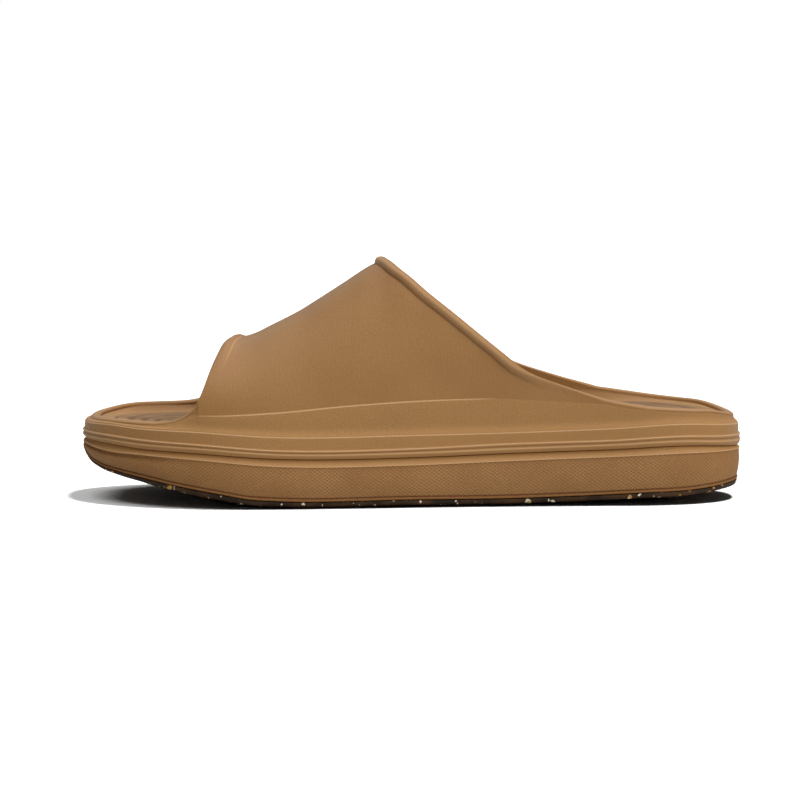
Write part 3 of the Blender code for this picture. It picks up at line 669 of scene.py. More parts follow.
half_width = curves(OUTLINE_COLUMNS, OUTLINE, free_slopes)
side_line = curves(SIDE_COLUMNS, SIDE, free_slopes)
sole_line = curves(SOLE_COLUMNS, SOLE, free_slopes)
rocker_line = curves(ROCKER_COLUMNS, ROCKER)
crest_line = curve(CREST_COLUMNS, CREST_REAR + CREST, "rise")
panel_height = curve(PANEL_COLUMNS, PANEL, "height", free_slopes)
panel_proud = curve(PANEL_COLUMNS, PANEL, "proud")
footbed_drop = curve(FOOTBED_COLUMNS, FOOTBED, "drop")
front_edge = curves(EDGE_COLUMNS, past_crest(FRONT_EDGE))
collar_edge = curves(EDGE_COLUMNS, past_crest(COLLAR_EDGE))
relief = curves(RELIEF_COLUMNS, RELIEF)
wall_belly = curve(BELLY_COLUMNS, BELLY, "out")
lip_band = curves(BAND_COLUMNS, LIP_BAND)
bead_band = curves(BAND_COLUMNS, BEAD_BAND)
bead_width = curve(BEAD_WIDTH_COLUMNS, BEAD_WIDTH, "width")


def place(along):
    """X of a share of the length, counted from the heel."""
    return (0.5 - along) * LENGTH


def share(x):
    """The share of the length, counted from the heel, at an X."""
    return 0.5 - x / LENGTH


def rounding(along):
    """How the half width shrinks towards the rounded heel and toe."""
    for away, (reach, power) in ((along, HEEL_ROUND), (1 - along, TOE_ROUND)):
        if away < reach:
            return max(1 - (1 - away / reach) ** power, 0.0) ** (1 / power)
    return 1.0


def tip_side(along):
    """Y towards which the two sides close: the toe's tip lies a little to the medial side."""
    return TOE_TIP_SIDE * BALL_WIDTH * ramp(along, *TOE_TIP_FADE)


def outline(along, side):
    """Y of the widest line of the shoe. Side is -1 for lateral and 1 for medial."""
    widening = half_width["lateral" if side < 0 else "medial"](along)
    half = mix(HEEL_WIDTH / 2, BALL_WIDTH / 2, widening)
    tip = tip_side(along)
    return tip + (side * half - tip) * rounding(along)


def lengths_along(points):
    """Length along a polyline up to each of its points."""
    lengths = [0.0]
    for a, b in zip(points, points[1:]):
        lengths.append(lengths[-1] + hypot(b[0] - a[0], b[1] - a[1]))
    return lengths


def evenly(points, count):
    """Points that split a polyline into a number of equal lengths, with both its ends."""
    lengths = lengths_along(points)
    result = []
    i = 0
    for n in range(count + 1):
        target = lengths[-1] * n / count
        while i < len(points) - 2 and lengths[i + 1] < target:
            i += 1
        t = (target - lengths[i]) / (lengths[i + 1] - lengths[i])
        a, b = points[i], points[i + 1]
        result.append((mix(a[0], b[0], t), mix(a[1], b[1], t)))
    return result


def end_arc(start, end, tip, sides, count):
    """Points round the toe or the heel, from a place on one side to a place on the other."""
    points = []
    there = range(ARC_SAMPLES + 1)
    back = range(ARC_SAMPLES - 1, -1, -1)
    for side, base, order in zip(sides, (start, end), (there, back)):
        for n in order:
            along = mix(base, tip, sin(n / ARC_SAMPLES * pi / 2))
            points.append((place(along), outline(along, side)))
    return evenly(points, count)


def arch_step(m):
    """How far a step of the arch is from the side wall (0) to the crest (1)."""
    across = 2 * m / ARCH_STEPS
    return min(across, 2 - across)


def edge_place(edge, m):
    """Turn in radians and place along the length of an edge of the strap, at a step of the arch."""
    step = arch_step(m)
    turn = radians(edge["turn"](step))
    along = edge["along"](step)
    if 2 * m > ARCH_STEPS:
        skew = -FRONT_SKEW if edge is front_edge else COLLAR_SKEW
        along += edge["skew"](step) * skew / LENGTH
        turn = pi - turn
    return turn, along


def edge_point(edge, m):
    """Point of an edge of the strap at a step of the arch."""
    turn, along = edge_place(edge, m)
    return strap_point(along, turn)


def band_share(edge, other, m, width, most):
    """Share of the way to the other edge that a band of a given width along an edge takes."""
    least_sine = 0.15
    run = edge_point(other, m) - edge_point(edge, m)
    tangent = edge_point(edge, min(m + 1, ARCH_STEPS)) - edge_point(edge, max(m - 1, 0))
    sine = run.normalized().cross(tangent.normalized()).length
    return min(width / (run.length * max(sine, least_sine)), most)


def strap_shares(m):
    """Shares from the front edge to the collar edge for the hoops of the strap, at one step."""
    lip = band_share(front_edge, collar_edge, m, TOE_LIP_WIDTH, TOE_LIP_MOST)
    width = COLLAR_BEAD_WIDTH * bead_width(arch_step(m))
    bead = band_share(collar_edge, front_edge, m, width, COLLAR_BEAD_MOST)
    first, last = BAND_SHARES[-1] * lip, 1 - BAND_SHARES[-1] * bead
    inner = [mix(first, last, n / STRAP_STEPS) for n in range(1, STRAP_STEPS)]
    start = [lip * across for across in BAND_SHARES]
    end = [1 - bead * across for across in reversed(BAND_SHARES)]
    return start + inner + end


def side_height(name, along):
    """Height of one of the lines round the side."""
    return side_line[name](along) * RIM_HEIGHT + side_line["spring"](along) * TOE_SPRING


def base_height(along):
    """Height at which the side wall starts to lean in towards the crest."""
    return side_height("ledge_high", along) + WALL_RISE


def wall_inset():
    """Inset of the wall above the upper ledge."""
    return 2 * LEDGE_STEP + WALL_LEAN


def strap_point(along, turn):
    """Point on the strap's outer surface: an arch over the foot at one place along the length."""
    side = -1 if turn <= pi / 2 else 1
    foot = outline(along, side) - side * wall_inset()
    low = base_height(along)
    crest = mix(TOE_OPENING_HEIGHT, INSTEP_HEIGHT, crest_line(along))
    across = abs(cos(turn)) ** (2 / SECTION_POWER)
    up = max(sin(turn), 0.0) ** (2 / SECTION_POWER)
    return Vector((place(along), mix(CREST_OFFSET, foot, across), mix(low, crest, up)))


def foot_turn(turn):
    """The turn of the strap's foot on the same side as a turn."""
    return 0.0 if turn <= pi / 2 else pi


def strap_normal(along, turn):
    """Outward direction of the strap's surface."""
    near, small_turn, least_turn = 0.002, 0.01, 0.001
    run = strap_point(along - near, turn) - strap_point(along + near, turn)
    low = max(turn - small_turn, least_turn)
    high = min(turn + small_turn, pi - least_turn)
    across = strap_point(along, high) - strap_point(along, low)
    return run.cross(across).normalized()


STRAP_SHARES = [strap_shares(m) for m in range(ARCH_STEPS + 1)]
HOOPS = len(STRAP_SHARES[0])


def hoop_place(hoop, m):
    """Place along the length and turn of a strap point."""
    t = STRAP_SHARES[m][hoop]
    front_turn, front_along = edge_place(front_edge, m)
    collar_turn, collar_along = edge_place(collar_edge, m)
    return mix(front_along, collar_along, t), mix(front_turn, collar_turn, t)


class Column:
    """One place on the shoe's outline, with the direction that points away from the shoe."""

    def __init__(self, point, before, after, along, axis, run):
        self.x, self.y = point
        ahead = Vector((after[0] - before[0], after[1] - before[1])).normalized()
        self.out = Vector((ahead.y, -ahead.x, 0.0))
        self.along = along
        self.axis = axis
        self.run = run
        self.medial = point[1] > tip_side(along)
        self.front = along > 0.5
        self.arch_end = ARCH_STEPS if self.medial else 0

    def at(self, inset, height):
        return Vector((self.x, self.y, height)) - self.out * inset


def make_columns():
    """Columns round the shoe: lateral side, heel, medial side and toe, anticlockwise from above."""
    lateral = [hoop_place(hoop, 0)[0] for hoop in range(HOOPS)]
    medial = [hoop_place(hoop, ARCH_STEPS)[0] for hoop in range(HOOPS)]
    points = [(place(along), outline(along, -1)) for along in lateral]
    points += end_arc(lateral[-1], medial[-1], 0.0, (-1, 1), HEEL_STEPS)[1:-1]
    points += [(place(along), outline(along, 1)) for along in reversed(medial)]
    points += end_arc(medial[0], lateral[0], 1.0, (1, -1), TOE_STEPS)[1:-1]
    runs = lengths_along(points + points[:1])
    heel_axes = [lateral[-1]] * (HEEL_STEPS - 1)
    toe_axes = [lateral[0]] * (TOE_STEPS - 1)
    axes = lateral + heel_axes + lateral[::-1] + toe_axes
    columns = []
    for i, point in enumerate(points):
        before, after = points[i - 1], points[(i + 1) % len(points)]
        columns.append(Column(point, before, after, share(point[0]), axes[i], runs[i]))
    return columns, runs[-1]


COLUMNS, PERIMETER = make_columns()
HEEL_START = HOOPS - 1
MEDIAL_START = HEEL_START + HEEL_STEPS
TOE_START = MEDIAL_START + HOOPS - 1


def hoop_of(index):
    """The strap's hoop that stands on a column, or None on the toe and the heel."""
    if index <= HEEL_START:
        return index
    if MEDIAL_START <= index <= TOE_START:
        return TOE_START - index
    return None


def edge_relief(hoop, m):
    """Rise of the band along an edge at a point of the strap, and its painted highlight and shade."""
    bands = (
        (hoop, lip_band, TOE_LIP_RISE, TOE_LIP_FADE),
        (HOOPS - 1 - hoop, bead_band, COLLAR_BEAD_RISE, COLLAR_BEAD_FADE),
    )
    for back, band, rise, fade in bands:
        if back < len(BAND_SHARES):
            across = BAND_SHARES[back]
            strength = ramp(arch_step(m), *fade)
            return rise * band["rise"](across) * strength, band["tone"](across) * strength
    return 0.0, 0.0


def strap_grid():
    """Outer and inner points of the strap, and the painted highlight and shade of the outer ones, by
    hoop.
    """
    outer, inner, tones = [], [], []
    for hoop in range(HOOPS):
        outer_row, inner_row, tone_row = [], [], []
        for m in range(ARCH_STEPS + 1):
            along, turn = hoop_place(hoop, m)
            point, normal = strap_point(along, turn), strap_normal(along, turn)
            rise, tone = edge_relief(hoop, m)
            outer_row.append(point + normal * rise)
            inner_row.append(point - normal * STRAP_WALL)
            tone_row.append(tone)
        outer.append(outer_row)
        inner.append(inner_row)
        tones.append(tone_row)
    return outer, inner, tones


def rim_level(along, column):
    """Height of the rim's wall below its rounded top, a little more beside the big toe."""
    top = side_height("rim", along) - EDGE_ROUND * (RIM_INNER_INSET - wall_inset())
    half = abs(outline(along, 1) - outline(along, -1)) / 2
    if not (column.front and column.medial):
        return top
    rise = TOE_RIM_RISE * (1 - ramp(along, *TOE_RIM_FADE))
    return top + rise * ramp(column.y - tip_side(along), 0.0, half)


def sweep(column):
    """How far past the strap's end a column is (0 to 1), and the strap's end there."""
    hoop, (reach, _) = (0, FRONT_SWEEP) if column.front else (HOOPS - 1, REAR_SWEEP)
    start, turn = hoop_place(hoop, column.arch_end)
    if column.medial and hoop:
        reach *= MEDIAL_SWEEP_SHARE
    return min(abs(column.along - start) * LENGTH / reach, 1.0), start, turn


def rim_edge(column):
    """Height of the rim's edge, which sweeps up into the strap at both of its ends."""
    gone, start, turn = sweep(column)
    lift = strap_point(start, turn).z - rim_level(start, column)
    power = (FRONT_SWEEP if column.front else REAR_SWEEP)[1]
    return rim_level(column.along, column) + lift * (1 - gone) ** power


def sole_edge(column):
    """Height of the outsole's lower edge."""
    spring = sole_line["spring"](column.along) * TOE_SPRING
    return spring + sole_line["lift"](column.along) * HEEL_LIFT


def sole_top(column):
    return sole_edge(column) + sole_line["edge"](column.along) * OUTSOLE_THICKNESS


def sole_inset(column):
    return sole_line["tuck"](column.along) * SOLE_TUCK


def underside(point, column, depth):
    """Height under the shoe: flat under ball and heel, rising to the toe and at the edge."""
    along = share(point.x)
    rocker = rocker_line["spring"](along) * TOE_SPRING + rocker_line["lift"](along) * HEEL_LIFT
    return mix(sole_edge(column), rocker, ramp(depth, 0.0, sole_line["crown"](column.along)))


def footbed(column, depth, x):
    """Height of the insole's top, from its edge (depth 0) to the middle (depth 1)."""
    along = share(x)
    edge = side_height("rim", along) - footbed_drop(along) * RIM_HEIGHT
    dip = mix(HEEL_CUP, FOREFOOT_DIP, ramp(along, *FOOTBED_EASE))
    height = edge - dip * ramp(depth, 0.0, 1.0)
    if column.medial:
        arch = ramp(along, *ARCH_START) * (1 - ramp(along, *ARCH_END))
        height += ARCH_RISE * arch * ramp(depth, 0.0, ARCH_DEPTH_SHARE) * (1 - ramp(depth, 0.0, 1.0))
    return height


def spine(column):
    """The point of the middle line to which a column's rings close in."""
    along = column.axis
    return Vector((place(along), (outline(along, -1) + outline(along, 1)) / 2, 0.0))


def cap(inset, depths, height, shade=None):
    """Rings from an edge in to the spine, with their height and tone given by functions."""
    rings = []
    for depth in depths:
        ring = []
        for column in COLUMNS:
            point = column.at(inset(column), 0.0).lerp(spine(column), depth)
            point.z = height(point, column, depth)
            ring.append(point)
        tones = [shade(point, depth) for point in ring] if shade else 0.0
        rings.append((ring, tones, 0.0))
    return rings


def ring(inset, height, tone=0.0, hatch=0.0):
    """One closed ring of points round the shoe, with its tone and its hatching."""
    return [column.at(inset(column), height(column)) for column in COLUMNS], tone, hatch


def steps(start, end, count):
    """Values from a start to an end, in equal steps, with both of them."""
    return [mix(start, end, n / count) for n in range(count + 1)]


def between(values, count):
    """The values with a number of steps put in between each two."""
    fine = []
    for a, b in zip(values, values[1:]):
        fine += steps(a, b, count)[:-1]
    return fine + [values[-1]]


def new_mesh():
    """An empty mesh whose points hold their place on the side, their tone (painted light and shade)
    and their hatching.
    """
    mesh = bmesh.new()
    for name in ("run", "rise", "tone", "hatch"):
        mesh.verts.layers.float.new(name)
    return mesh


def add_ring(mesh, points, tones=0.0, hatches=0.0, runs=None, rises=None):
    """Add points to the mesh, with the values that the materials read there."""
    layers = mesh.verts.layers.float
    result = []
    for i, point in enumerate(points):
        vert = mesh.verts.new(point)
        vert[layers["run"]] = runs[i] if runs else COLUMNS[i].run
        vert[layers["rise"]] = rises[i] if rises else point.z - side_height("shelf", share(point.x))
        vert[layers["tone"]] = tones[i] if isinstance(tones, list) else tones
        vert[layers["hatch"]] = hatches[i] if isinstance(hatches, list) else hatches
        result.append(vert)
    return result


def bridge(mesh, low, high, closed):
    """Quads between two rows of vertices."""
    count = len(low)
    for i in range(count if closed else count - 1):
        j = (i + 1) % count
        mesh.faces.new((low[i], low[j], high[j], high[i]))


def bridge_all(mesh, rows, closed=True):
    """Quads between each row of vertices and the next one."""
    for low, high in zip(rows, rows[1:]):
        bridge(mesh, low, high, closed)


def lay_out(mesh):
    """Turn the places on the side into a map in metres, without a jump where the round closes."""
    run, rise = mesh.verts.layers.float["run"], mesh.verts.layers.float["rise"]
    side_map = mesh.loops.layers.uv.new("side")
    for face in mesh.faces:
        runs = [loop.vert[run] for loop in face.loops]
        wraps = max(runs) - min(runs) > PERIMETER / 2
        for loop in face.loops:
            u = loop.vert[run]
            if wraps and u < PERIMETER / 2:
                u += PERIMETER
            loop[side_map].uv = (u, loop.vert[rise])


def mesh_data(mesh, name):
    """The finished mesh as data for an object."""
    data = bpy.data.meshes.new(name)
    mesh.to_mesh(data)
    mesh.free()
    return data


def add_object(name, data):
    """A new object in the scene."""
    item = bpy.data.objects.new(name, data)
    bpy.context.scene.collection.objects.link(item)
    return item


def finish(mesh, name, material, node):
    """Weld the mesh, turn its faces outwards and dress a node of the frame with it."""
    bmesh.ops.remove_doubles(mesh, verts=mesh.verts, dist=1e-6)
    bmesh.ops.dissolve_degenerate(mesh, dist=1e-6, edges=mesh.edges)
    bmesh.ops.recalc_face_normals(mesh, faces=mesh.faces)
    lay_out(mesh)
    data = mesh_data(mesh, name)
    data.materials.append(material)
    data.shade_smooth()
    piece = add_object(name, data)
    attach(piece, "root")
    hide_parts(node)
    return piece


def stack(rings):
    """A closed form from rings that run from the middle of its underside to that of its top."""
    mesh = new_mesh()
    bridge_all(mesh, [add_ring(mesh, *ring_values) for ring_values in rings])
    return mesh


def bed_inset(column):
    """Inset of the insole and of the midsole's neck inside the rim."""
    return RIM_INNER_INSET + CLEARANCE


def top_inset(column):
    """Inset of the joint between outsole and midsole."""
    return sole_inset(column) - JOINT_FLARE


def outsole_over(point, column, depth):
    """Height of the outsole's top, which the midsole lies on."""
    edge = sole_top(column) - sole_edge(column)
    thickness = mix(edge, OUTSOLE_THICKNESS, ramp(depth, 0.0, EDGE_THINNING_SHARE))
    return underside(point, column, depth) + thickness


def lip_top(column):
    """Height of the thin lip over the outsole, which is lower at the toe."""
    height = LIP_HEIGHT * mix(1.0, LIP_TOE_SHARE, ramp(column.along, *LIP_TOE_FADE))
    return sole_top(column) + CLEARANCE + height


def upper_joint(column):
    """Height of the upper's underside, at the groove round the side."""
    return side_height("groove", column.along) + CLEARANCE / 2


def midsole_joint(column):
    """Height of the midsole's upper face, at the groove round the side."""
    return side_height("groove", column.along) - CLEARANCE / 2


def side_level(level, column):
    """Height of a level of the side: 0 groove, 1 bead, 2 lower ledge, 3 upper ledge, 4 base."""
    names = ("groove", "bead", "ledge_low", "ledge_high")
    lines = [side_height(name, column.along) for name in names]
    lines.append(base_height(column.along))
    lines[0] += CLEARANCE / 2
    i = min(int(level), len(lines) - 2)
    return mix(lines[i], lines[i + 1], level - i)


def relief_rings():
    """Rings of the upper's ribbed side, from its underside to the foot of the wall."""
    rings = []
    for level in between([row[0] for row in RELIEF], RELIEF_STEPS):
        inset = relief["inset"](level) * LEDGE_STEP
        height = lambda column: side_level(level, column)
        # Painted highlight on the ridges and painted shade in the grooves, from the relief's tone.
        rings.append(ring(lambda column: inset, height, relief["tone"](level), 1.0))
    return rings


def wall_rings(bases, edges, bows):
    """Rings of the wall from the upper ledge to the strap and the rim, with the panel line."""
    panels = []
    low, high = PANEL_SHARES
    for index, (column, base, edge) in enumerate(zip(COLUMNS, bases, edges)):
        at_line = (panel_height(column.along) * RIM_HEIGHT - base.z) / (edge.z - base.z)
        strength = panel_proud(column.along) if hoop_of(index) is not None else 0.0
        panels.append((min(max(at_line, low), high), strength))
    rings = []
    for stage, t in WALL_STAGES:
        points, tones, hatches = [], [], []
        for column, base, edge, bow, (line, strength) in zip(COLUMNS, bases, edges, bows, panels):
            height = edge.z - base.z
            width = min(PANEL_LINE_WIDTH / height, PANEL_LINE_MOST)
            tone = 0.0
            if stage == "below":
                at = (line - PANEL_REACH * width) * t
                step = 1.0
            elif stage == "line":
                at = line + t * width
                step = 1 - ramp(t, *PANEL_STEP)
                # A painted highlight along the panel line.
                tone = PANEL_LINE_HIGHLIGHT * (1 - min(abs(t), 1.0))
            else:
                at = mix(line + PANEL_REACH * width, 1.0, t)
                step = 0.0
            fillet_height = min(FILLET_HEIGHT, FILLET_MOST * height)
            fillet = FILLET_DEPTH * max(1 - at * height / fillet_height, 0.0) ** FILLET_POWER
            lean = bow * 4 * at * (1 - at) + PANEL_RISE * step * strength * ramp(at, 0.0, line)
            points.append(base.lerp(edge, at) + column.out * (fillet + lean))
            tones.append(tone * strength)
            hatches.append(mix(HATCH_ABOVE * (1 - at), 1.0, step))
        rings.append((points, tones, hatches))
    return rings


def upper_walls(outer_grid, inner_grid):
    """Rings of the upper's outer and inner walls, from the joint up to the strap and the rim."""
    walls = []
    for index, column in enumerate(COLUMNS):
        base = column.at(wall_inset(), base_height(column.along))
        hoop = hoop_of(index)
        if hoop is None:
            gone, start, turn = sweep(column)
            lean, drop = end_lean(column)
            lean += TOE_LEAN * ramp(column.along, *TOE_LEAN_FADE)
            edge = column.at(wall_inset() + lean, rim_edge(column))
            back = column.at(RIM_INNER_INSET + lean, edge.z - drop)
            bow = strap_bow(start, turn) * (1 - gone) ** 2
        else:
            edge = outer_grid[hoop][column.arch_end]
            back = inner_grid[hoop][column.arch_end]
            bow = strap_bow(*hoop_place(hoop, column.arch_end))
        walls.append((base, edge, back, bow))
    bases, edges, backs, bows = zip(*walls)
    return relief_rings() + wall_rings(bases, edges, bows), flange_rings(backs)


def end_lean(column):
    """How far in the wall's top leans beside the strap's end, and how far its inner side drops."""
    gone, start, turn = sweep(column)
    foot = strap_point(start, foot_turn(turn))
    lean = abs(foot.y - strap_point(start, turn).y)
    drop = STRAP_WALL * strap_normal(start, turn).z
    return lean * (1 - gone) ** 2, drop * (1 - gone) ** 2


def flange_width(column):
    """Width of the cove at the foot of the inner wall, which is wider at the toe."""
    return mix(*FLANGE_WIDTHS, ramp(column.along, *FLANGE_EASE))


def flange_rings(backs):
    """Rings of the inner wall, which flares out at its foot in a soft cove round the insole."""
    inner_inset = lambda column: RIM_INNER_INSET
    tops, lows = [], []
    for column, back in zip(COLUMNS, backs):
        edge = footbed(column, 0.0, column.x)
        rise = mix(*FLANGE_RISES, ramp(column.along, *FLANGE_EASE))
        tops.append(column.at(RIM_INNER_INSET, edge + min(rise, back.z - edge - CLEARANCE)))
        lows.append(column.at(RIM_INNER_INSET, edge - FLANGE_LOW))
    rings = [ring(inner_inset, upper_joint)[0], lows]
    for n, t in enumerate(steps(0.0, 1.0, FLANGE_STEPS)):
        points = []
        for column, top in zip(COLUMNS, tops):
            inset = RIM_INNER_INSET + flange_width(column) * (1 - t)
            foot = bed_height(column, RIM_INNER_INSET + flange_width(column))
            points.append(column.at(inset, mix(foot, top.z, t ** FLANGE_POWER)))
        if n == 0:
            rings.append([point - Vector((0.0, 0.0, FLANGE_LOW)) for point in points])
        rings.append(points)
    rings += [[top.lerp(back, t) for top, back in zip(tops, backs)] for t in INNER_SHARES]
    return rings


def bed_height(column, inset):
    """Height of the footbed at an inset from the outline."""
    reach = (column.at(0.0, 0.0) - spine(column)).length
    return footbed(column, inset / reach, column.at(inset, 0.0).x)


def strap_bow(along, turn):
    """How far the strap's curved side stands out from the straight line between its two ends."""
    turns = (foot_turn(turn), (turn + foot_turn(turn)) / 2, turn)
    foot, middle, edge = [strap_point(along, angle) for angle in turns]
    t = (middle.z - foot.z) / (edge.z - foot.z)
    out = abs(middle.y - CREST_OFFSET) - abs(foot.lerp(edge, t).y - CREST_OFFSET)
    return out / (4 * t * (1 - t))


def strap_rows(mesh, grid, ends, tones=None):
    """Surface of the strap between the two stretches of the wall's top ring that carry it."""
    rows = []
    for hoop in range(HOOPS):
        points = grid[hoop][1:-1]
        runs = [COLUMNS[hoop].run] * len(points)
        row_tones = tones[hoop][1:-1] if tones else 0.0
        middle = add_ring(mesh, points, row_tones, 0.0, runs)
        rows.append([ends[hoop]] + middle + [ends[TOE_START - hoop]])
    bridge_all(mesh, rows, closed=False)
    return rows


def end_direction(rows, hoop, inner_hoop, m):
    """Direction in which the strap's surface runs out over an edge, at a step of the arch."""
    return (rows[hoop][m].co - rows[inner_hoop][m].co).normalized()


def eased(ways):
    """Directions round a closed loop, each averaged with its neighbours."""
    result = []
    for i in range(len(ways)):
        near = (ways[(i + k) % len(ways)] for k in range(-EASE_REACH, EASE_REACH + 1))
        result.append(sum(near, Vector()).normalized())
    return result


def round_over(mesh, outer, inner, outer_rows, inner_rows, ring_ids, hoop, inner_hoop):
    """Round one open end of the wall over, along the rim and then back along the strap's edge."""
    run_layer = mesh.verts.layers.float["run"]
    loop = []
    for index in ring_ids:
        away = Vector((0.0, 0.0, 1.0))
        if hoop_of(index) is None:
            skew = mix(1.0, RIM_SKEW, sweep(COLUMNS[index])[0])
        else:
            skew = 1.0
            level = end_direction(outer_rows, hoop, inner_hoop, COLUMNS[index].arch_end)
            away = (away + level).normalized()
        loop.append((outer[-1][index], inner[-1][index], away, skew))
    arch = range(1, ARCH_STEPS)
    if COLUMNS[ring_ids[-1]].medial:
        arch = reversed(arch)
    for m in arch:
        away = end_direction(outer_rows, hoop, inner_hoop, m)
        loop.append((outer_rows[hoop][m], inner_rows[hoop][m], away, 1.0))
    outsides, insides, aways, skews = zip(*loop)
    runs = [outside[run_layer] for outside in outsides]
    rows = [list(outsides)]
    ways = eased(aways)
    for n in range(1, ROUND_STEPS):
        angle = pi * n / ROUND_STEPS
        across = (1 - cos(angle)) / 2
        points = []
        for outside, inside, away, skew in zip(outsides, insides, ways, skews):
            wall = (inside.co - outside.co).length
            bulge = sin(2 * asin(across ** (skew / 2))) ** ROUND_POWER
            points.append(outside.co.lerp(inside.co, across) + away * (wall * EDGE_ROUND * bulge))
        # Painted highlight over the round, strongest at its top.
        rows.append(add_ring(mesh, points, RIM_HIGHLIGHT * sin(angle), 0.0, runs))
    rows.append(list(insides))
    bridge_all(mesh, rows)


def make_upper(material):
    """The hollow upper: ribbed side, wall, rim and strap, open at the toe, the heel and below."""
    outer_grid, inner_grid, tones = strap_grid()
    outer_rings, inner_rings = upper_walls(outer_grid, inner_grid)
    mesh = new_mesh()
    outer = [add_ring(mesh, *ring_values) for ring_values in outer_rings]
    # The inner side is lightened with painted light.
    inner = [add_ring(mesh, points, INNER_LIGHT) for points in inner_rings]
    bridge_all(mesh, inner[::-1] + outer)
    outer_rows = strap_rows(mesh, outer_grid, outer[-1], tones)
    inner_rows = strap_rows(mesh, inner_grid, inner[-1])
    toe_ids = list(range(TOE_START, len(COLUMNS))) + [0]
    heel_ids = list(range(HEEL_START, MEDIAL_START + 1))
    behind = 2
    round_over(mesh, outer, inner, outer_rows, inner_rows, toe_ids, 0, behind)
    round_over(mesh, outer, inner, outer_rows, inner_rows, heel_ids, HOOPS - 1, HOOPS - 1 - behind)
    return finish(mesh, "upper_skin", material, "upper")


def undercut(column):
    """How far the textured wall is set back under the shelf, most at the toe."""
    return mix(UNDERCUT, UNDERCUT_TOE, ramp(column.along, *UNDERCUT_FADE))


def wall_ring(t):
    """One ring of the textured wall between the lip's groove and the shelf, with painted shade at its
    foot.
    """
    low = lambda column: lip_top(column) + LIP_GROOVE_WIDTH
    belly = wall_belly(t)
    back = ramp(t, UNDERCUT_START, 1.0)
    return ring(
        lambda column: mix(top_inset(column), SHELF_INSET, belly) + undercut(column) * back,
        lambda column: mix(low(column), side_height("shelf", column.along) - SHELF_EDGE, t),
        0.0 if t else -GROOVE_SHADE,
        1.0,
    )


def cove_ring(t):
    """One ring of the cove between the shelf's edge and the groove under the upper, with painted
    light and shade.
    """
    inset = mix(SHELF_INSET, GROOVE_DEPTH + CLEARANCE, 1 - (1 - t) ** COVE_POWER)
    height = lambda column: mix(side_height("shelf", column.along), midsole_joint(column), t)
    return ring(lambda column: inset, height, mix(COVE_LIGHT, COVE_SHADE, t ** COVE_SHADE_POWER))


def insole_under(point, column, depth):
    """Height of the insole's underside."""
    return footbed(column, depth, point.x) - INSOLE_THICKNESS


def make_midsole(material):
    """The foam body of the sole: lip, groove, textured wall, shelf and cove, under the insole."""
    under = cap(top_inset, SOLE_DEPTHS, lambda *where: outsole_over(*where) + CLEARANCE)
    sides = []
    # The lip, darkened with painted shade mixed with glue spots.
    for t, proud, tone in LIP_PROFILE:
        sides.append(ring(
            lambda column: top_inset(column) - LIP_PROUD * proud,
            lambda column: mix(sole_top(column) + CLEARANCE, lip_top(column), t),
            tone,
        ))
    # The lip's groove: full painted shade, mixed with glue spots.
    sides.append(ring(lambda column: top_inset(column) + LIP_GROOVE_DEPTH,
                      lambda column: lip_top(column) + LIP_GROOVE_WIDTH / 2, -1.0))
    sides += [wall_ring(t) for t in WALL_SHARES]
    # The shelf's edge: a painted highlight on it and painted shade under it.
    for drop, inset, tone in SHELF_PROFILE:
        sides.append(ring(
            lambda column: SHELF_INSET + inset * SHELF_EDGE,
            lambda column: side_height("shelf", column.along) - drop * SHELF_EDGE,
            tone,
        ))
    sides += [cove_ring(t) for t in COVE_SHARES]
    sides.append(ring(bed_inset, midsole_joint))
    over = cap(bed_inset, BED_DEPTHS, lambda *where: insole_under(*where) - CLEARANCE)
    mesh = stack(under[::-1] + sides + over)
    return finish(mesh, "midsole_skin", material, "midsole")


def make_tread_cutter():
    """One bar for each groove, which stops short of the sole's edge on both sides."""
    right = [(across * TREAD_WIDTH / 2, up * TREAD_DEPTH) for across, up in TREAD_SECTION]
    section = right + [(-across, up) for across, up in reversed(right)]
    mesh = bmesh.new()
    for start, end in TREAD_FIELDS:
        count = int((end - start) * LENGTH / TREAD_PITCH)
        for n in range(count + 1):
            x = place(start) - n * TREAD_PITCH
            low = outline(share(x), -1) + TREAD_MARGIN
            high = outline(share(x), 1) - TREAD_MARGIN
            ends = [
                [mesh.verts.new((x + across, y, up)) for across, up in section] for y in (low, high)
            ]
            bridge_all(mesh, ends)
            for row in ends:
                mesh.faces.new(row)
    bmesh.ops.recalc_face_normals(mesh, faces=mesh.faces)
    return add_object("tread_cutter", mesh_data(mesh, "tread_cutter"))


def make_outsole(material):
    """The thin rubber sole that wraps the shoe's lower edge, with its tread cut in."""
    rings = steps(0.0, 1.0, SOLE_RINGS)
    under = cap(lambda column: sole_inset(column) + SOLE_ROUND, rings, underside)
    sides = []
    for t, inset, tone in SOLE_PROFILE:
        sides.append(ring(
            lambda column: mix(sole_inset(column), top_inset(column), t) + inset * SOLE_ROUND,
            lambda column: mix(sole_edge(column), sole_top(column), t),
            tone,
        ))
    over = cap(lambda column: top_inset(column) + SOLE_ROUND / 2, SOLE_DEPTHS, outsole_over)
    mesh = stack(under[::-1] + sides + over)
    outsole = finish(mesh, "outsole_skin", material, "outsole")
    cutter = make_tread_cutter()
    cut = outsole.modifiers.new("tread", "BOOLEAN")
    cut.operation = "DIFFERENCE"
    cut.solver = "EXACT"
    cut.object = cutter
    bpy.context.view_layer.update()
    depsgraph = bpy.context.evaluated_depsgraph_get()
    data = bpy.data.meshes.new_from_object(outsole.evaluated_get(depsgraph))
    outsole.modifiers.remove(cut)
    outsole.data = data
    bpy.data.objects.remove(cutter, do_unlink=True)
    data.set_sharp_from_angle(angle=radians(SHARP_ANGLE))
    return outsole


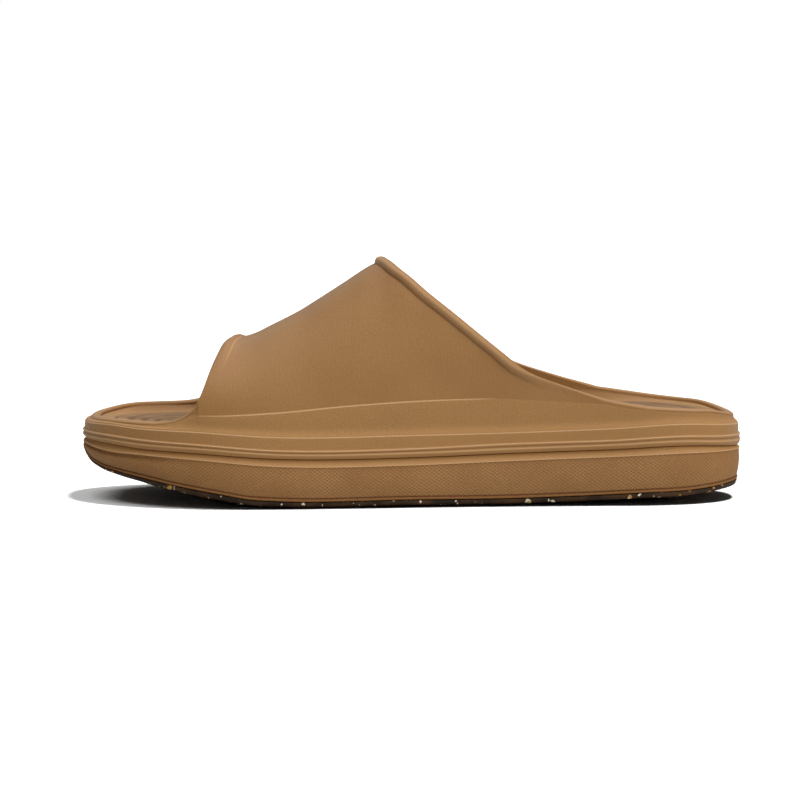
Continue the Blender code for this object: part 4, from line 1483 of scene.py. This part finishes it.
def insole_over(point, column, depth):
    """Height of the insole's top, whose edge is rounded over and whose middle has soft grooves."""
    round_edge = INSOLE_ROUND * (1 - min(depth / INSOLE_ROUND_SHARE, 1.0)) ** 2
    return footbed(column, depth, point.x) - round_edge - CONTOUR_DEPTH * contour(point, depth)


def contour(point, depth):
    """How deep a place of the insole lies in one of its soft contour grooves, from 0 to 1."""
    turns = min(max((depth - CONTOUR_START) / CONTOUR_PITCH, 0.0), CONTOUR_COUNT)
    along = share(point.x)
    ends = 1 - ramp(along, *HEEL_CONTOUR_FADE) + ramp(along, *TOE_CONTOUR_FADE)
    return sin(pi * turns) ** CONTOUR_POWER * ends


def make_insole(material):
    """The footbed inside the rim, with a rounded edge and soft contour grooves at toe and heel."""
    inset = lambda column: RIM_INNER_INSET + flange_width(column) + CLEARANCE
    under = cap(inset, BED_DEPTHS, insole_under)
    edge_depths = steps(0.0, INSOLE_ROUND_SHARE, INSOLE_EDGE_RINGS)[:-1]
    depths = edge_depths + steps(INSOLE_ROUND_SHARE, 1.0, INSOLE_RINGS)
    # Painted shade in the contour grooves and on the rounded edge.
    shade = lambda point, depth: -contour(point, depth) - EDGE_SHADE * (depth < INSOLE_ROUND_SHARE)
    over = cap(inset, depths, insole_over, shade)
    mesh = stack(under[::-1] + over)
    return finish(mesh, "insole_skin", material, "insole")


class Looks:
    """A material that is put together from nodes."""

    def __init__(self, name, roughness, specular):
        self.material = bpy.data.materials.new(name)
        self.material.use_nodes = True
        self.tree = self.material.node_tree
        self.shader = self.tree.nodes["Principled BSDF"]
        self.shader.inputs["Roughness"].default_value = roughness
        self.shader.inputs["Specular IOR Level"].default_value = specular

    def put(self, socket, value):
        """Give a socket a value or the output of another node."""
        if isinstance(value, bpy.types.NodeSocket):
            self.tree.links.new(value, socket)
        else:
            socket.default_value = value

    def node(self, kind, inputs, **settings):
        node = self.tree.nodes.new(kind)
        for name, value in settings.items():
            setattr(node, name, value)
        for name, value in inputs.items():
            self.put(node.inputs[name], value)
        return node

    def math(self, operation, *values, kind="ShaderNodeMath"):
        return self.node(kind, dict(enumerate(values)), operation=operation).outputs[0]

    def times(self, a, b):
        return self.math("MULTIPLY", a, b)

    def ramp(self, value, low, high, start=0.0, end=1.0):
        """A smooth ramp of a value from one level to another."""
        inputs = {"Value": value, "From Min": low, "From Max": high, "To Min": start, "To Max": end}
        node = self.node("ShaderNodeMapRange", inputs, interpolation_type="SMOOTHSTEP")
        return node.outputs["Result"]

    def blend(self, factor, a, b):
        """A mix of two colours."""
        node = self.node("ShaderNodeMix", {}, data_type="RGBA")
        self.put(node.inputs["Factor"], factor)
        self.put(node.inputs[6], a)
        self.put(node.inputs[7], b)
        return node.outputs[2]

    def value(self, name):
        """A value kept at the points of the mesh."""
        return self.node("ShaderNodeAttribute", {}, attribute_name=name).outputs["Fac"]

    def spot(self, stretch=(1.0, 1.0, 1.0)):
        """The place on the shoe in metres, stretched along its axes."""
        here = self.node("ShaderNodeTexCoord", {}).outputs["Object"]
        return self.node("ShaderNodeMapping", {"Vector": here, "Scale": stretch}).outputs["Vector"]

    def noise(self, size, detail=2.0, spot=None, rough=0.5, output="Fac"):
        """Cloudy noise between 0 and 1, with features of a size in metres."""
        place_there = spot or self.spot()
        inputs = {"Vector": place_there, "Scale": 1 / size, "Detail": detail, "Roughness": rough}
        return self.node("ShaderNodeTexNoise", inputs).outputs[output]

    def lines(self, phase, width):
        """Ridges at the whole numbers of a phase, as wide as a share of their spacing."""
        away = self.math("PINGPONG", phase, 0.5)
        return self.ramp(away, 0.0, width / 2, 1.0, 0.0)

    def lattice(self, across, up, width):
        """Two crossing sets of ridges on the side, whose diamonds have the given sizes in metres."""
        side = self.node("ShaderNodeUVMap", {}, uv_map="side").outputs["UV"]
        parts = self.node("ShaderNodeSeparateXYZ", {"Vector": side}).outputs
        u = self.math("DIVIDE", parts["X"], across)
        v = self.math("DIVIDE", parts["Y"], up)
        rising = self.lines(self.math("ADD", u, v), width)
        falling = self.lines(self.math("SUBTRACT", u, v), width)
        return self.math("MAXIMUM", rising, falling)

    def bump(self, height, depth, below=None):
        """Relief of the surface, with a depth in metres, on top of other relief."""
        inputs = {"Height": height, "Strength": 1.0, "Distance": depth}
        node = self.node("ShaderNodeBump", inputs)
        if below:
            self.put(node.inputs["Normal"], below)
        return node.outputs["Normal"]

    def toned(self, color, light, dark, highlight_most, shade_most):
        """The colour with painted highlights where the tone is above 0 and painted shade where it is
        below.
        """
        tone = self.value("tone")
        up = self.times(self.math("MAXIMUM", tone, 0.0), highlight_most)
        down = self.times(self.math("MAXIMUM", self.times(tone, -1.0), 0.0), shade_most)
        return self.blend(down, self.blend(up, color, light), dark)

    def clouded(self, noise, deep, pale):
        """A colour that drifts from a deep to a pale one with a noise."""
        return self.blend(self.ramp(noise, *CLOUD_LEVELS), deep, pale)

    def grained(self, color, noise, dark, tint):
        """The colour, tinted with a dark one where a noise is high."""
        return self.blend(self.ramp(noise, *GRAIN_LEVELS, 0.0, tint), color, dark)

    def done(self, color, normal, roughness=None):
        self.put(self.shader.inputs["Base Color"], color)
        self.put(self.shader.inputs["Normal"], normal)
        if roughness:
            self.put(self.shader.inputs["Roughness"], roughness)
        return self.material


def moulded_foam():
    """Satin tan foam: fine pebbles on the strap, and fine crossing hatches low on the side."""
    looks = Looks("moulded_foam", roughness=0.55, specular=0.3)
    looks.shader.inputs["Sheen Weight"].default_value = SHEEN
    looks.shader.inputs["Sheen Roughness"].default_value = SHEEN_ROUGHNESS
    clouds = looks.noise(CLOUD_SIZE, detail=3.0)
    pebbles = looks.noise(PEBBLE_SIZE)
    streaks = looks.noise(PEBBLE_SIZE, detail=1.0, spot=looks.spot(STREAK_STRETCH))
    hatch = looks.lattice(*HATCH_SIZES, HATCH_WIDTH)
    side = looks.value("hatch")
    color = looks.clouded(clouds, FOAM_DEEP, FOAM_PALE)
    color = looks.grained(color, pebbles, FOAM_GRAIN, PEBBLE_TINT)
    color = looks.blend(looks.times(hatch, looks.times(side, HATCH_TINT)), color, FOAM_HATCH)
    # Painted highlight on the ridges and painted shade in the grooves, as the points' tone asks.
    color = looks.toned(color, FOAM_PAINTED_HIGHLIGHT, FOAM_PAINTED_SHADE, PAINTED_HIGHLIGHT_TINT, PAINTED_SHADE_TINT)
    normal = looks.bump(pebbles, PEBBLE_DEPTH)
    normal = looks.bump(streaks, STREAK_DEPTH, normal)
    normal = looks.bump(looks.times(hatch, side), HATCH_DEPTH, normal)
    roughness = looks.ramp(clouds, *FOAM_ROUGHNESS_LEVELS, *FOAM_ROUGHNESS)
    return looks.done(color, normal, roughness)


def textured_foam():
    """Matte tan foam of the sole's wall: a lattice of raised lines, lit by a painted highlight, round
    darker diamonds.
    """
    looks = Looks("textured_foam", roughness=0.6, specular=0.2)
    clouds = looks.noise(CLOUD_SIZE, detail=3.0)
    patches = looks.noise(PATCH_SIZE)
    pebbles = looks.noise(PEBBLE_SIZE)
    wall = looks.value("hatch")
    lattice = looks.times(looks.lattice(*LATTICE_SIZES, LATTICE_WIDTH), wall)
    strength = looks.ramp(patches, *CLOUD_LEVELS, *LATTICE_TINT)
    color = looks.clouded(clouds, WALL_DEEP, WALL_PALE)
    # Away from the textured wall the foam takes its lighter copy, which is painted light.
    color = looks.blend(wall, LIT_SHELF_FOAM, color)
    # Painted highlight on the lattice's raised lines.
    color = looks.blend(looks.times(lattice, strength), color, WALL_LINE_HIGHLIGHT)
    color = looks.grained(color, pebbles, FOAM_GRAIN, PEBBLE_TINT)
    # Negative tone darkens towards painted shade mixed with real glue spots; positive tone is a
    # painted highlight.
    glue = looks.ramp(looks.noise(GLUE_SIZE, detail=3.0), *GLUE_LEVELS)
    groove = looks.blend(glue, FOAM_PAINTED_SHADE, GLUE)
    color = looks.toned(color, FOAM_PAINTED_HIGHLIGHT, groove, PAINTED_HIGHLIGHT_TINT, PAINTED_SHADE_TINT)
    normal = looks.bump(pebbles, PEBBLE_DEPTH)
    normal = looks.bump(lattice, LATTICE_DEPTH, normal)
    return looks.done(color, normal)


def flakes(looks, cell, least, radius):
    """Irregular flakes: their mask, and a random value for the colour of each."""
    vectors = "ShaderNodeVectorMath"
    spot = looks.spot()
    wobble = looks.noise(FLAKE_WOBBLE_SIZE, detail=1.0, spot=spot, output="Color")
    centred = looks.math("SUBTRACT", wobble, (0.5, 0.5, 0.5), kind=vectors)
    scaled = looks.math("MULTIPLY", centred, (FLAKE_WOBBLE,) * 3, kind=vectors)
    moved = looks.math("ADD", spot, scaled, kind=vectors)
    cells = looks.node("ShaderNodeTexVoronoi", {"Vector": moved, "Scale": 1 / cell}).outputs
    parts = looks.node("ShaderNodeSeparateColor", {"Color": cells["Color"]}).outputs
    size = looks.ramp(parts["Green"], 0.0, 1.0, *radius)
    inside = looks.math("LESS_THAN", cells["Distance"], size)
    chosen = looks.math("GREATER_THAN", parts["Red"], least)
    return looks.times(inside, chosen), parts["Blue"]


def flecked_rubber():
    """Dark brown rubber with cream and ochre flakes pressed in."""
    looks = Looks("flecked_rubber", roughness=0.55, specular=0.25)
    clouds = looks.noise(RUBBER_CLOUD_SIZE, detail=3.0)
    color = looks.blend(looks.ramp(clouds, *RUBBER_LEVELS), RUBBER_DEEP, RUBBER_PALE)
    for cell, least, radius in FLAKE_KINDS:
        mask, shade = flakes(looks, cell, least, radius)
        flake = looks.blend(looks.ramp(shade, *FLAKE_LEVELS), FLAKE_CREAM, FLAKE_OCHRE)
        color = looks.blend(mask, color, flake)
    grain = looks.noise(RUBBER_GRAIN_SIZE)
    return looks.done(color, looks.bump(grain, RUBBER_GRAIN_DEPTH))


def footbed_foam():
    """Matte grey-brown footbed, faintly blotched, with fine pores and painted shade in grooves and on
    its edge.
    """
    looks = Looks("footbed_foam", roughness=0.75, specular=0.25)
    blotches = looks.noise(BLOTCH_SIZE, detail=4.0, spot=looks.spot(BLOTCH_STRETCH), rough=0.6)
    pores = looks.noise(PEBBLE_SIZE)
    color = looks.clouded(blotches, BED_DARK, BED_PALE)
    color = looks.grained(color, pores, BED_DARK, PORE_TINT)
    # Painted shade in the contour grooves and on the rounded edge.
    color = looks.toned(color, BED_PALE, BED_PAINTED_SHADE, 1.0, BED_PAINTED_SHADE_TINT)
    return looks.done(color, looks.bump(pores, PORE_DEPTH, looks.bump(blotches, BLOTCH_DEPTH)))


def make_floor():
    """A wide white floor just under the shoe."""
    mesh = bmesh.new()
    bmesh.ops.create_grid(mesh, x_segments=1, y_segments=1, size=FLOOR_SIZE / 2)
    data = mesh_data(mesh, "floor")
    looks = Looks("floor", roughness=0.9, specular=0.0)
    seen = looks.node("ShaderNodeLightPath", {}).outputs["Is Camera Ray"]
    looks.put(looks.shader.inputs["Base Color"], looks.blend(seen, FLOOR_BOUNCE, FLOOR_COLOR))
    data.materials.append(looks.material)
    floor = add_object("floor", data)
    floor.location.z = -FLOOR_DROP
    return floor


def make_sun(name, strength, softness, azimuth, height, lit):
    """A soft light from far away on the given pieces. Azimuth is 0 in front and 90 at the heel."""
    data = bpy.data.lights.new(name, "SUN")
    data.energy = strength
    data.angle = radians(softness)
    light = add_object(name, data)
    light.rotation_euler = (radians(90 - height), 0.0, radians(azimuth))
    receivers = bpy.data.collections.new(name + "_lights")
    for piece in lit:
        receivers.objects.link(piece)
    light.light_linking.receiver_collection = receivers


def make_world():
    """White behind the shoe, with a softer fill light from all round."""
    world = bpy.data.worlds.new("studio")
    bpy.context.scene.world = world
    world.use_nodes = True
    nodes, links = world.node_tree.nodes, world.node_tree.links
    path = nodes.new("ShaderNodeLightPath")
    strength = nodes.new("ShaderNodeMapRange")
    strength.inputs["To Min"].default_value = FILL_STRENGTH
    strength.inputs["To Max"].default_value = BACKDROP_STRENGTH
    links.new(path.outputs["Is Camera Ray"], strength.inputs["Value"])
    background = nodes["Background"]
    background.inputs["Color"].default_value = WHITE
    links.new(strength.outputs["Result"], background.inputs["Strength"])


def make_camera():
    """The photograph's view: level with the shoe's side, a little from above."""
    data = bpy.data.cameras.new("camera")
    data.sensor_width = SENSOR
    data.lens = PHOTO_SCALE * CAMERA_DISTANCE / PHOTO_SIZE * SENSOR
    camera = add_object("camera", data)
    tilt = radians(CAMERA_RISE)
    target = Vector(((PHOTO_SIZE / 2 - PHOTO_MIDDLE_X) / PHOTO_SCALE, 0.0,
                     (PHOTO_FLOOR_Y - PHOTO_SIZE / 2) / (PHOTO_SCALE * cos(tilt))))
    camera.location = target + Vector((0.0, -cos(tilt), sin(tilt))) * CAMERA_DISTANCE
    camera.rotation_euler = (pi / 2 - tilt, 0.0, 0.0)
    bpy.context.scene.camera = camera


make_camera()
shoe = [
    make_upper(moulded_foam()),
    make_midsole(textured_foam()),
    make_outsole(flecked_rubber()),
    make_insole(footbed_foam()),
]
floor = make_floor()
for light_values in FLOOR_LIGHTS:
    make_sun(*light_values, [floor])
for light_values in SHOE_LIGHTS:
    make_sun(*light_values, shoe)
make_world()
bpy.context.scene.view_settings.view_transform = "Standard"
